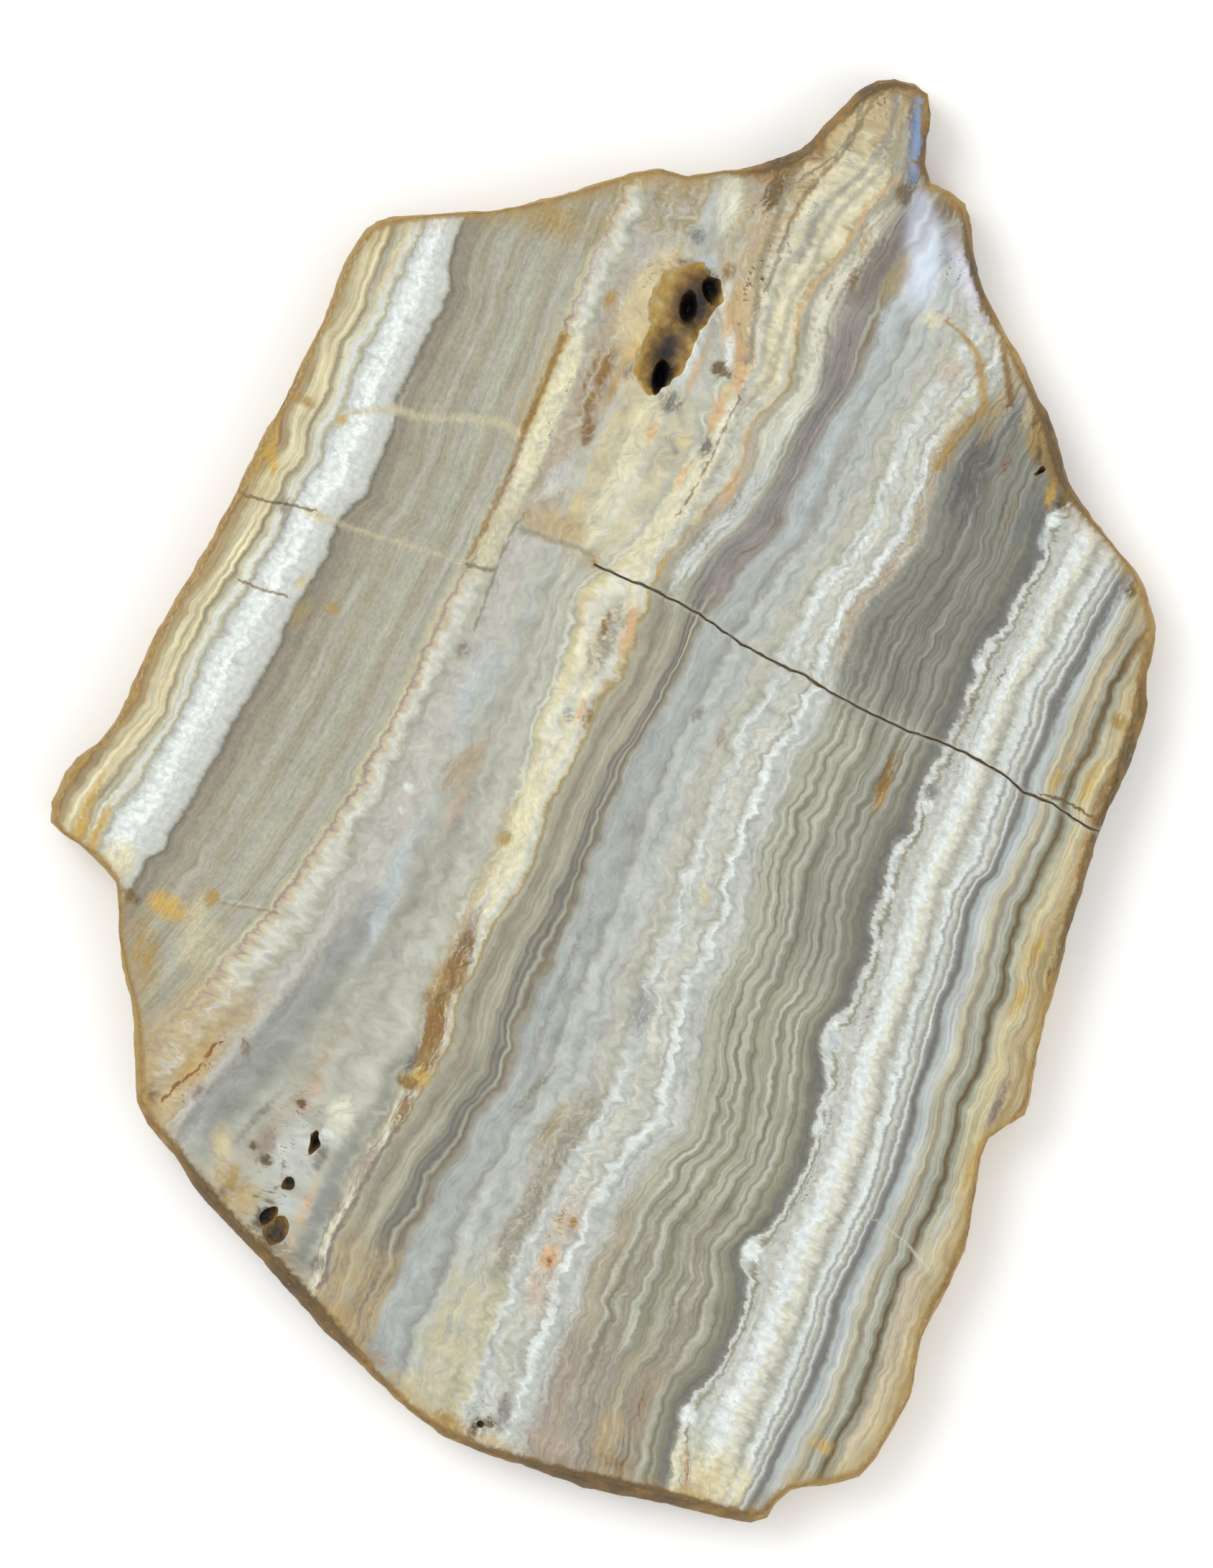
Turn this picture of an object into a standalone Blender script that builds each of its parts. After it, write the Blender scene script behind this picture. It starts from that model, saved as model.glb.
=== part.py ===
"""A petrified wood slice: one stone, sawn flat below, polished flat above, its rind left natural.

Metres, +Z up. The slice lies on its sawn face. The origin is the centre of its footprint, at the
sawn face; +Y runs along its length, towards the narrow tip, and +X across it.
"""

import math

import bmesh
import bpy
from mathutils import Matrix, Vector, noise

# Driving dimensions, in metres.
LENGTH = 0.182
THICKNESS = 0.008
RIND_STEP = 0.0021
SAWN_CHAMFER = 0.0007
MOST_ROLL = 0.0019

# How far the rind stands in and out of its traced line: broad lumps, and small knobs on them.
# Both are drawn out upwards, as ribs, because the slice was sawn across a trunk.
LUMP_HEIGHT = 0.00055
LUMP_SIZE = 0.0080
KNOB_HEIGHT = 0.00035
KNOB_SIZE = 0.0033
RIB_STRETCH = 2.2

# The slice's edge as the photograph shows it from above, clockwise from the tip. Each point is
# (right, down, roll) in pixels of the photograph: roll is how wide the rind shows between the
# edge and the polish.
EDGE_PIXELS = [
    (1247, 103, 12), (1276, 111, 10), (1297, 127, 8), (1304, 158, 8), (1298, 195, 8),
    (1290, 226, 7), (1299, 253, 7), (1325, 262, 10), (1346, 281, 12), (1358, 318, 12),
    (1363, 356, 12), (1379, 404, 13), (1407, 463, 12), (1442, 532, 11), (1470, 588, 12),
    (1483, 632, 12), (1492, 667, 11), (1520, 711, 9), (1556, 753, 9), (1589, 796, 11),
    (1609, 838, 14), (1618, 874, 16), (1610, 922, 16), (1602, 962, 16), (1599, 1000, 16),
    (1586, 1049, 18), (1575, 1087, 16), (1549, 1142, 12), (1529, 1195, 12), (1508, 1260, 10),
    (1487, 1328, 9), (1465, 1402, 8), (1453, 1460, 8), (1441, 1504, 7), (1438, 1531, 7),
    (1432, 1555, 7), (1402, 1576, 7), (1381, 1590, 7), (1371, 1614, 7), (1363, 1662, 7),
    (1357, 1712, 7), (1350, 1744, 10), (1329, 1793, 12), (1301, 1840, 9), (1287, 1868, 7),
    (1282, 1906, 8), (1274, 1950, 9), (1246, 1999, 10), (1221, 2041, 11), (1199, 2062, 11),
    (1150, 2075, 11), (1104, 2083, 12), (1085, 2099, 12), (1070, 2119, 12), (1046, 2125, 14),
    (1005, 2119, 16), (950, 2107, 18), (880, 2092, 20), (812, 2078, 20), (745, 2058, 16),
    (680, 2033, 11), (615, 2004, 10), (570, 1974, 11), (512, 1922, 13), (450, 1859, 18),
    (390, 1794, 19), (330, 1731, 17), (282, 1675, 13), (238, 1611, 11), (204, 1567, 10),
    (188, 1536, 11), (185, 1470, 11), (179, 1407, 11), (163, 1348, 12), (155, 1298, 11),
    (157, 1258, 9), (156, 1231, 8), (128, 1197, 8), (84, 1167, 8), (67, 1146, 9),
    (70, 1118, 10), (88, 1074, 11), (121, 1036, 11), (153, 1002, 11), (178, 948, 12),
    (213, 874, 12), (272, 779, 11), (322, 675, 12), (378, 570, 11), (436, 459, 10),
    (466, 388, 10), (484, 349, 10), (509, 316, 10), (541, 299, 10), (598, 291, 9),
    (680, 286, 9), (752, 273, 9), (822, 253, 9), (874, 235, 10), (916, 228, 10),
    (959, 238, 9), (999, 229, 10), (1056, 225, 11), (1113, 201, 12), (1156, 161, 12),
    (1196, 121, 12), (1221, 106, 12),
]

# The heights of the rind's rings, as shares of the thickness, and how far each stands in from
# the edge: first a share of SAWN_CHAMFER, then a share of the roll.
RINGS = [
    (0.0, 1.0, 0.0), (0.055, 0.3, 0.0), (0.2, 0.0, 0.0), (0.37, 0.0, 0.0), (0.55, 0.0, 0.0),
    (0.72, 0.0, 0.05), (0.85, 0.0, 0.22), (0.95, 0.0, 0.58), (1.0, 0.0, 1.0),
]

# The hollow near the tip, and the small pits: the centre in photograph pixels, the half length,
# half width and depth in metres, and the turn of the long side from upright, clockwise.
HOLLOWS = {
    "upper_lobe": (954, 420, 0.0050, 0.0040, 0.0032, 40),
    "upper_shaft": (959, 424, 0.0023, 0.0013, 0.0060, 8),
    "side_shaft": (989, 404, 0.0019, 0.0012, 0.0046, -20),
    "lower_lobe": (928, 487, 0.0062, 0.0031, 0.0030, 30),
    "lower_shaft": (919, 523, 0.0026, 0.0011, 0.0060, 12),
    "foot_pit": (373, 1693, 0.0013, 0.0010, 0.0016, 30),
    "amber_pit": (386, 1713, 0.0019, 0.0015, 0.0013, 35),
    "slot_pit": (437, 1589, 0.0016, 0.0006, 0.0017, 15),
    "crumb_pit": (402, 1648, 0.0008, 0.0006, 0.0009, 60),
    "rind_pit": (1449, 657, 0.0009, 0.0005, 0.0009, 60),
    "seam_pit": (671, 1984, 0.0006, 0.0005, 0.0009, 0),
}
HOLLOW_ROUGHNESS = 0.16
HOLLOW_GRAIN = 0.0024

# The fracture that crosses the slice, from the left of the polish to the right rind, in
# photograph pixels, and the size of the groove that it leaves.
FRACTURE_PIXELS = [
    (826, 788), (868, 805), (905, 819), (942, 838), (974, 856), (1006, 878), (1046, 905),
    (1088, 928), (1122, 950), (1160, 976), (1205, 1000), (1262, 1025), (1305, 1038),
    (1345, 1052), (1400, 1082), (1425, 1103), (1465, 1120), (1500, 1142), (1556, 1168),
]
GROOVE_WIDTH = 0.00042
GROOVE_DEPTH = 0.00040
ABOVE_POLISH = 0.0006

STONE_COLOUR = (0.60, 0.57, 0.50, 1.0)
STONE_ROUGHNESS = 0.22


def clear_scene():
    for thing in list(bpy.data.objects):
        bpy.data.objects.remove(thing, do_unlink=True)


def photo_scale():
    """Metres to a pixel, and the pixel at the middle of the slice's box."""
    rights = [point[0] for point in EDGE_PIXELS]
    downs = [point[1] for point in EDGE_PIXELS]
    middle = ((min(rights) + max(rights)) / 2, (min(downs) + max(downs)) / 2)
    return LENGTH / (max(downs) - min(downs)), middle


def place(right, down):
    """A photograph pixel as a point of the slice, in metres."""
    scale, middle = photo_scale()
    return Vector(((right - middle[0]) * scale, (middle[1] - down) * scale))


def smooth_between(before, start, end, after, share):
    """A point on the curve from start to end that also leans to the points either side."""
    a = 2 * start
    b = end - before
    c = 2 * before - 5 * start + 4 * end - after
    d = 3 * start - before - 3 * end + after
    return (a + b * share + c * share ** 2 + d * share ** 3) / 2


def traced_edge():
    """Evenly spaced points on a smooth curve through EDGE_PIXELS: (x, y, roll), in metres."""
    scale, _ = photo_scale()
    knots = []
    for right, down, roll in EDGE_PIXELS:
        spot = place(right, down)
        knots.append(Vector((spot.x, spot.y, min(roll * scale, MOST_ROLL))))
    count = len(knots)
    points = []
    for i in range(count):
        around = [knots[(i + k) % count] for k in (-1, 0, 1, 2)]
        steps = max(1, round((around[2] - around[1]).length / RIND_STEP))
        points += [smooth_between(*around, step / steps) for step in range(steps)]
    return points


def outward(points, i):
    """The level direction that points out of the stone at one point of a clockwise edge."""
    along = points[(i + 1) % len(points)] - points[i - 1]
    return Vector((-along.y, along.x, 0)).normalized()


def rind_relief(spot):
    """How far the natural rind stands out at a spot, in metres."""
    ribbed = Vector((spot.x, spot.y, spot.z / RIB_STRETCH))
    lump = noise.noise(ribbed / LUMP_SIZE) * LUMP_HEIGHT
    knob = noise.noise(ribbed / KNOB_SIZE + Vector((7, 3, 5))) * KNOB_HEIGHT
    return lump + knob - LUMP_HEIGHT / 2


def slab_mesh():
    """The closed slice: rings of points from the sawn face up to the polish, and two caps."""
    edge = traced_edge()
    mesh = bmesh.new()
    rings = []
    for height, chamfer_share, roll_share in RINGS:
        ring = []
        for i, point in enumerate(edge):
            inset = chamfer_share * SAWN_CHAMFER + roll_share * point.z
            spot = Vector((point.x, point.y, height * THICKNESS))
            wild = 0 if height in (0, 1) else 1 - roll_share
            shift = wild * rind_relief(spot) - inset
            ring.append(mesh.verts.new(spot + outward(edge, i) * shift))
        rings.append(ring)
    for low, high in zip(rings, rings[1:]):
        for i in range(len(edge)):
            mesh.faces.new((low[i - 1], low[i], high[i], high[i - 1]))
    mesh.faces.new(rings[0])
    mesh.faces.new(rings[-1])
    bmesh.ops.recalc_face_normals(mesh, faces=mesh.faces)
    return mesh


def middle_of(thing):
    """The middle of an object's footprint."""
    xs = [vert.co.x for vert in thing.data.vertices]
    ys = [vert.co.y for vert in thing.data.vertices]
    return Vector(((min(xs) + max(xs)) / 2, (min(ys) + max(ys)) / 2, 0))


def object_from(mesh, name):
    data = bpy.data.meshes.new(name)
    mesh.to_mesh(data)
    mesh.free()
    thing = bpy.data.objects.new(name, data)
    bpy.context.collection.objects.link(thing)
    return thing


def cutter(thing):
    thing.hide_render = True
    thing.display_type = "WIRE"
    return thing


def hollow_cutter(name, right, down, half_length, half_width, depth, turn):
    """A rough egg, sunk point down into the polish, that a Boolean takes out of the stone."""
    egg = bmesh.new()
    bmesh.ops.create_icosphere(egg, subdivisions=3, radius=1)
    spot = place(right, down)
    size = Matrix.Diagonal((half_width, half_length, depth, 1))
    turned = Matrix.Rotation(math.radians(-turn), 4, "Z")
    where = Matrix.Translation((spot.x, spot.y, THICKNESS))
    bmesh.ops.transform(egg, matrix=where @ turned @ size, verts=egg.verts)
    centre = Vector((spot.x, spot.y, THICKNESS))
    for vert in egg.verts:
        arm = vert.co - centre
        vert.co = centre + arm * (1 + HOLLOW_ROUGHNESS * noise.noise(vert.co / HOLLOW_GRAIN))
    return cutter(object_from(egg, name + "_cutter"))


def fracture_cutter():
    """A wedge along the fracture, as wide as the groove at the polish and sharp below."""
    spots = [place(*pixel) for pixel in FRACTURE_PIXELS]
    taper = (GROOVE_DEPTH + ABOVE_POLISH) / GROOVE_DEPTH
    wedge = bmesh.new()
    sections = []
    for i, spot in enumerate(spots):
        ahead = spots[min(i + 1, len(spots) - 1)] - spots[max(i - 1, 0)]
        side = Vector((-ahead.y, ahead.x)).normalized() * GROOVE_WIDTH / 2 * taper
        sections.append([
            wedge.verts.new((spot.x + side.x, spot.y + side.y, THICKNESS + ABOVE_POLISH)),
            wedge.verts.new((spot.x - side.x, spot.y - side.y, THICKNESS + ABOVE_POLISH)),
            wedge.verts.new((spot.x, spot.y, THICKNESS - GROOVE_DEPTH)),
        ])
    for here, there in zip(sections, sections[1:]):
        for k in range(3):
            wedge.faces.new((here[k], here[k - 1], there[k - 1], there[k]))
    wedge.faces.new(sections[0])
    wedge.faces.new(sections[-1][::-1])
    bmesh.ops.recalc_face_normals(wedge, faces=wedge.faces)
    return cutter(object_from(wedge, "fracture_cutter"))


def cut_away(thing, tool):
    cut = thing.modifiers.new(tool.name, "BOOLEAN")
    cut.operation = "DIFFERENCE"
    cut.object = tool
    cut.solver = "EXACT"


def stone_material():
    material = bpy.data.materials.new("petrified_wood")
    material.use_nodes = True
    shader = material.node_tree.nodes["Principled BSDF"]
    shader.inputs["Base Color"].default_value = STONE_COLOUR
    shader.inputs["Roughness"].default_value = STONE_ROUGHNESS
    shader.inputs["Metallic"].default_value = 0.0
    return material


def build():
    clear_scene()
    slab = object_from(slab_mesh(), "slab")
    slab.data.materials.append(stone_material())
    slab.location = -middle_of(slab)
    tools = [hollow_cutter(name, *size) for name, size in HOLLOWS.items()]
    for tool in tools + [fracture_cutter()]:
        tool.location = slab.location
        cut_away(slab, tool)
    slab.data.shade_smooth()
    slab.data.set_sharp_from_angle(angle=math.radians(35))


build()
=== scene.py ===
# %% [markdown]
# A petrified wood slice, dressed for the camera
#
# The real thing is one stone: a trunk whose wood turned to agate, sawn across into a slice about
# 8 mm thick. The lower face is as the saw left it, the upper face is polished, and the edge all
# round is the trunk's own weathered rind. The solid shape comes from the imported model, so this
# script only has to give the stone its skin: the growth bands, fringes, stains, hairlines, the
# glassy hollow and the rough rind.
#
# The first step loads the imported model and notes its box.

# %% The imported model
import math

import bmesh
import bpy
import numpy as np
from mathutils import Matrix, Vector, kdtree, noise


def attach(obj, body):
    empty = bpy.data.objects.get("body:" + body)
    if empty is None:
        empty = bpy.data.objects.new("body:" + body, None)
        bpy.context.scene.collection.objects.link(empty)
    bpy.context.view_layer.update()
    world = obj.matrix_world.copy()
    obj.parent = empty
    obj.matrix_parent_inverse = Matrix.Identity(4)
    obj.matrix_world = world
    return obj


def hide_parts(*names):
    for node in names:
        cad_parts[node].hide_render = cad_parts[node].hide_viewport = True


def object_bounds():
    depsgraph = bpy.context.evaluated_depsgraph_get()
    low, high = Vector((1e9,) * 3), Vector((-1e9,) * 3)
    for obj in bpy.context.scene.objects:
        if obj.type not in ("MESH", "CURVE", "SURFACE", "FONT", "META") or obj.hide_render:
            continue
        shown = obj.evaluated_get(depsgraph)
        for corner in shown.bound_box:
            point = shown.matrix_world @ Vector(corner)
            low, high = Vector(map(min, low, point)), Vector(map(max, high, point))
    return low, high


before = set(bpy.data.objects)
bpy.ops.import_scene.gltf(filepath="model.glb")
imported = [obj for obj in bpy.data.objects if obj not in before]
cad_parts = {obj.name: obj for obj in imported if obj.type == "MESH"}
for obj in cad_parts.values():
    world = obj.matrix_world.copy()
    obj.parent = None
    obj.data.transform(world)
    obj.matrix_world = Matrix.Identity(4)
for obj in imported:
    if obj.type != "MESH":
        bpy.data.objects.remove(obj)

MM = 0.001
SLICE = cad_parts["slab"]
CAD_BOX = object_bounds()
THICKNESS = CAD_BOX[1].z - CAD_BOX[0].z
print("the packed slice is", [round(side / MM, 1) for side in CAD_BOX[1] - CAD_BOX[0]], "mm")


# %% [markdown]
# Where a point lies in the wood
#
# Nearly all that shows on the polish runs in bands along one direction, 25 degrees off upright.
# So each point gets two numbers in place of x and y: `across`, which counts from left to right
# over the bands, and `along`, which counts down them. A pixel of the photograph can be turned
# into the same two numbers, so that the fracture seen there lands in the right place.

# %% The band frame
BAND_TURN = math.radians(25)
SLICE_LENGTH = 182.0
TIP_ROW, FOOT_ROW = 103, 2125
PIXEL = SLICE_LENGTH / (FOOT_ROW - TIP_ROW)
MIDDLE_PIXEL = (841.1, 1114.9)
BAND_ORIGIN = (0.18, 0.13)


def band_frame(x, y):
    """(across, along), both in mm, of a point or of arrays of points given in mm."""
    x = x - BAND_ORIGIN[0]
    y = y - BAND_ORIGIN[1]
    across = x * math.cos(BAND_TURN) - y * math.sin(BAND_TURN)
    along = -x * math.sin(BAND_TURN) - y * math.cos(BAND_TURN)
    return across, along


# %% [markdown]
# The seams
#
# The bands aren't straight: they sway together, like the grain of a plank. The sway is caught by
# a few seams that are easy to follow from the top of the slice to its foot. Each is a short
# list of places, (along, across), and a band between two seams keeps its share of the way from
# one to the other. That gives every point a third number, `band`: how far across it would be if
# the seams ran straight, as they do through the middle row, where along is 0.

# %% The seams, as places along and across the bands
SEAMS = {
    "left_grey_line": [
        (-62, -54.5), (-50, -54.2), (-45, -53.7), (-42, -53.3), (-40, -53.5), (-37, -54.2),
        (-34.5, -53.4), (-30, -53.0), (-27, -53.3), (-23, -52.2), (-19, -53.2), (-12, -53.4),
        (-5, -54.3), (0, -55.2), (5, -55.3), (10, -55.2), (13.5, -54.5), (18, -55.7), (22, -56.8),
        (25, -57.3), (28, -57.8), (34, -57.8),
    ],
    "fringe_left": [
        (-62, -51.0), (-50, -50.8), (-45, -50.7), (-40, -50.6), (-38, -51.2), (-35, -50.7),
        (-30, -50.5), (-23, -50.2), (-20, -50.9), (-12, -51.1), (-5, -51.7), (0, -52.7),
        (5, -53.0), (10, -52.5), (15, -53.0), (18, -53.5), (22, -53.4), (25, -54.5), (30, -55.1),
        (34, -55.1),
    ],
    "fringe_right": [
        (-62, -45.6), (-58, -47.1), (-55, -46.7), (-52, -46.2), (-50, -44.8), (-47, -45.0),
        (-40, -45.0), (-35, -45.2), (-33, -44.8), (-30, -44.0), (-25, -43.8), (-22, -43.5),
        (-20, -44.8), (-17, -45.2), (-12, -44.8), (-5, -45.8), (0, -45.5), (5, -45.8),
        (8, -46.3), (15, -46.8), (20, -47.0), (25, -47.5), (27, -48.2), (29, -47.5), (31, -49.0),
        (36, -49.4), (45, -51.0), (60, -54.0),
    ],
    "block_right": [
        (-76, -30.6), (-60, -30.1), (-52, -30.0), (-49, -29.7), (-45, -29.0), (-40, -28.8),
        (-35, -28.3), (-30, -28.0), (-20, -28.1), (-12, -28.5), (-5, -28.5), (5, -28.7),
        (10, -29.0), (15, -29.5), (20, -30.5), (25, -31.2), (30, -32.0), (35, -33.7),
        (40, -35.3), (45, -36.5), (50, -38.3), (55, -39.7), (62, -41.0),
    ],
    "vein_right": [
        (-76, -26.5), (-60, -26.2), (-51, -25.8), (-45, -25.2), (-38, -24.9), (-30, -24.8),
        (-20, -24.8), (-12, -24.2), (0, -24.9), (10, -25.0), (20, -25.5), (30, -26.5),
        (40, -28.5), (50, -31.5), (60, -33.5),
    ],
    "mist_right": [
        (-95, -18.5), (-10, -18.4), (0, -18.8), (10, -19.0), (20, -20.0), (25, -20.7),
        (30, -21.8), (35, -22.4), (40, -23.2), (45, -24.4), (50, -25.6), (55, -27.6), (65, -30.0),
    ],
    "lens_left": [
        (-95, -10.5), (-84, -10.8), (-74, -12.2), (-66, -11.5), (-62, -10.5), (-60, -9.5),
        (-57, -7.6), (-52, -8.0), (-48, -8.3), (-40, -8.5), (-34, -9.3), (-30, -10.0),
        (-26, -12.4), (-22, -14.3), (-19, -14.0), (-15, -13.0), (-10, -12.0), (-5, -11.7),
        (0, -11.2), (5, -10.2), (10, -9.8), (20, -9.7), (30, -9.5), (33, -9.0), (36, -8.0),
        (40, -8.1), (42, -9.1), (44, -8.6), (48, -7.8), (52, -9.0), (60, -9.3), (70, -8.3),
    ],
    "thread": [
        (-95, -3.0), (-84, 0.0), (-80, -1.8), (-75, -2.0), (-70, -4.0), (-66, -3.9), (-63, -3.0),
        (-60, -1.8), (-57, -0.8), (-55, -1.5), (-50, -3.3), (-48, -2.5), (-45, -2.0),
        (-40, -3.0), (-36, -4.4), (-30, -5.8), (-27, -5.6), (-20, -4.9), (-15, -4.3),
        (-10, -5.8), (-5, -5.3), (0, -5.7), (5, -5.9), (10, -4.9), (15, -4.9), (20, -5.9),
        (25, -5.7), (30, -6.1), (35, -4.9), (40, -4.8), (45, -5.6), (50, -6.6), (55, -7.1),
        (60, -7.1), (65, -7.9), (70, -6.6), (76, -6.0),
    ],
    "dark_line": [
        (-95, 4.5), (-75, 3.0), (-68, 3.0), (-60, 4.8), (-55, 4.0), (-50, 3.8), (-45, 3.5),
        (-40, 3.0), (-38, 2.4), (-35, 0.8), (-32, 0.0), (-28, -0.5), (-25, 0.0), (-20, 0.5),
        (-15, 0.2), (-10, 0.0), (-5, -1.2), (0, -1.0), (5, -0.6), (10, -0.2), (15, -0.1),
        (20, -0.8), (25, -0.5), (30, -0.5), (33, 0.8), (36, 1.3), (40, 0.8), (45, 0.0),
        (50, -1.0), (55, -1.8), (60, -2.0), (65, -1.6), (76, -1.2),
    ],
    "grey_right": [
        (-95, 8.5), (-75, 6.0), (-60, 6.3), (-55, 5.2), (-50, 5.2), (-45, 5.0), (-41, 5.6),
        (-38, 4.7), (-35, 3.6), (-30, 2.6), (-25, 1.9), (-15, 1.4), (-5, 0.8), (0, 1.0),
        (5, 1.3), (10, 1.6), (15, 2.2), (20, 2.3), (30, 2.6), (35, 3.4), (40, 2.9), (45, 2.2),
        (50, 1.6), (55, 1.3), (60, 1.0), (70, 1.6), (78, 2.0),
    ],
    "laminae_left": [
        (-70, 23.8), (-63, 22.0), (-60, 21.4), (-57, 20.8), (-54, 21.5), (-50, 22.0),
        (-46, 22.8), (-43, 22.0), (-40, 21.4), (-37, 20.0), (-34, 19.6), (-30, 20.2),
        (-25, 20.6), (-22, 20.9), (-19, 21.0), (-15, 20.1), (-8, 20.1), (-3, 20.8), (0, 21.3),
        (5, 22.6), (8, 23.3), (12, 23.1), (18, 22.6), (21, 23.7), (25, 25.2), (30, 26.4),
        (34, 26.5), (38, 25.2), (42, 24.0), (46, 23.7), (50, 24.1), (54, 23.5), (58, 24.6),
        (62, 25.0), (70, 25.6), (80, 27.2),
    ],
    "dark_band_left": [
        (-64, 32.5), (-50, 33.6), (-40, 33.0), (-30, 33.2), (-20, 33.6), (-10, 33.3), (-4, 33.5),
        (0, 34.0), (5, 36.0), (10, 36.4), (15, 35.6), (20, 37.2), (25, 38.6), (30, 39.7),
        (40, 39.4), (45, 37.6), (50, 40.2), (55, 41.0), (60, 40.4), (65, 38.9), (75, 41.3),
    ],
    "knobs": [
        (-64, 36.8), (-59, 36.6), (-57, 36.0), (-55.6, 34.9), (-54, 35.4), (-52.5, 35.4),
        (-50.5, 36.6), (-48, 36.1), (-45, 35.6), (-41, 35.8), (-39, 35.0), (-37.6, 34.1),
        (-35.6, 34.3), (-33.5, 34.9), (-30, 35.0), (-27, 35.5), (-22, 35.0), (-16, 35.1),
        (-13, 36.1), (-10, 34.8), (-7, 35.1), (-4.5, 36.3), (-2, 35.9), (0, 36.0), (2, 37.4),
        (5, 38.3), (10, 38.4), (12, 37.4), (15, 36.7), (17, 37.0), (18.5, 38.8), (20.5, 40.1),
        (24, 40.3), (26.5, 41.3), (30, 42.1), (34, 42.0), (38, 41.6), (41, 40.7), (42.2, 39.3),
        (45.2, 38.9), (46.4, 40.9), (48, 41.9), (52, 42.9), (58, 43.0), (62, 42.1), (64, 40.9),
        (66, 40.5), (68, 41.3), (75, 43.4),
    ],
    "white_left": [
        (-60, 39.0), (-50, 38.8), (-40, 38.4), (-30, 38.2), (-20, 38.8), (-10, 38.8), (-5, 39.2),
        (0, 40.0), (5, 41.0), (10, 41.3), (15, 41.6), (20, 42.6), (25, 43.2), (30, 43.7),
        (40, 43.6), (45, 43.7), (50, 44.6), (60, 44.5), (66, 44.0), (75, 46.5),
    ],
    "white_right": [
        (-58, 42.6), (-50, 42.2), (-45, 41.6), (-40, 41.9), (-35, 40.7), (-30, 41.2), (-25, 41.6),
        (-18, 42.5), (-10, 42.5), (-5, 43.0), (0, 44.0), (5, 44.5), (10, 45.0), (15, 45.3),
        (20, 46.8), (30, 48.3), (40, 48.5), (50, 49.4), (60, 49.5), (70, 50.0),
    ],
    "lilac_line": [
        (-56, 46.2), (-50, 45.7), (-45, 45.4), (-40, 45.0), (-35, 44.3), (-33, 44.7),
        (-30, 45.5), (-25, 45.2), (-22, 45.8), (-17, 46.9), (-12, 46.9), (-10, 45.9),
        (-7, 45.9), (-5, 46.5), (-3, 46.3), (0, 47.5), (5, 47.8), (10, 48.5), (15, 49.5),
        (20, 50.3), (25, 51.0), (30, 51.8), (35, 52.0), (42, 51.7), (45, 51.4), (50, 52.3),
        (55, 53.0), (60, 53.3), (70, 52.6),
    ],
    "slate_line": [
        (-54, 47.0), (-45, 46.5), (-40, 46.5), (-35, 46.0), (-30, 47.0), (-25, 46.8),
        (-20, 47.7), (-12, 48.0), (-10, 47.0), (-7, 47.3), (-3, 48.2), (0, 49.0), (6, 49.1),
        (10, 50.5), (17, 50.8), (20, 52.0), (25, 52.8), (35, 53.0), (45, 53.1), (52, 54.3),
        (60, 54.3), (71, 54.0),
    ],
    "brown_line": [
        (-52, 52.5), (-47, 52.2), (-40, 51.2), (-36, 51.5), (-32, 52.1), (-27, 51.4),
        (-22, 52.4), (-18, 53.0), (-14, 52.8), (-9, 52.6), (-5, 53.3), (-2, 54.0), (0, 54.8),
        (5, 54.8), (9, 56.3), (12, 56.5), (16, 56.0), (20, 57.3), (25, 58.0), (34, 58.3),
        (36, 58.7), (38, 58.3), (45, 59.0), (50, 60.0), (55, 60.3), (62, 60.0),
    ],
}
ALONG_STEP = 0.25
ALONG_GRID = np.arange(-105, 90, ALONG_STEP)
ROUNDING_STEPS = 9
ROUNDING = np.hanning(ROUNDING_STEPS) / np.hanning(ROUNDING_STEPS).sum()
LEAST_GAP = 0.2


def seam_curve(places):
    """The seam's across value at every step of ALONG_GRID, with its corners rounded."""
    alongs, acrosses = zip(*places)
    sharp = np.interp(ALONG_GRID, alongs, acrosses)
    padded = np.pad(sharp, len(ROUNDING) // 2, mode="edge")
    return np.convolve(padded, ROUNDING, mode="valid")


SEAM_CURVES = np.array([seam_curve(places) for places in SEAMS.values()])
SEAM_BANDS = np.array([np.interp(0, ALONG_GRID, curve) for curve in SEAM_CURVES])
print(len(SEAMS), "seams; through the middle row they stand at", SEAM_BANDS.round(1))


def band_number(across, along):
    """The straightened across value of each point, by its share of the way between two seams."""
    across, along = np.atleast_1d(across), np.atleast_1d(along)
    seams = np.array([np.interp(along, ALONG_GRID, curve) for curve in SEAM_CURVES])
    order = np.clip((seams < across).sum(axis=0), 1, len(seams) - 1)
    column = np.arange(len(across))
    low, high = seams[order - 1, column], seams[order, column]
    low_band, high_band = SEAM_BANDS[order - 1], SEAM_BANDS[order]
    share = (across - low) / np.maximum(high - low, LEAST_GAP)
    inside = low_band + share * (high_band - low_band)
    left_of_all = SEAM_BANDS[0] + across - seams[0]
    right_of_all = SEAM_BANDS[-1] + across - seams[-1]
    return np.where(share < 0, left_of_all, np.where(share > 1, right_of_all, inside))


# %% [markdown]
# The stone's mesh
#
# The finish needs points to hang its numbers on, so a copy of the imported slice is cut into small
# pieces. The rind and the hollows are subdivided, which suits their even quads. The two flats are
# cut by planes into squares: wide ones below, narrow ones on the polish, where the eye rests.
# A plane slices every face that it meets and leaves the shape as it was, while subdivision would
# follow the long thin triangles of a flat and make them worse.
#
# The middle plane goes first, and each half is then cut on its own. Every plane looks only at the
# faces near it, which is what keeps some five hundred cuts quick.

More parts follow.
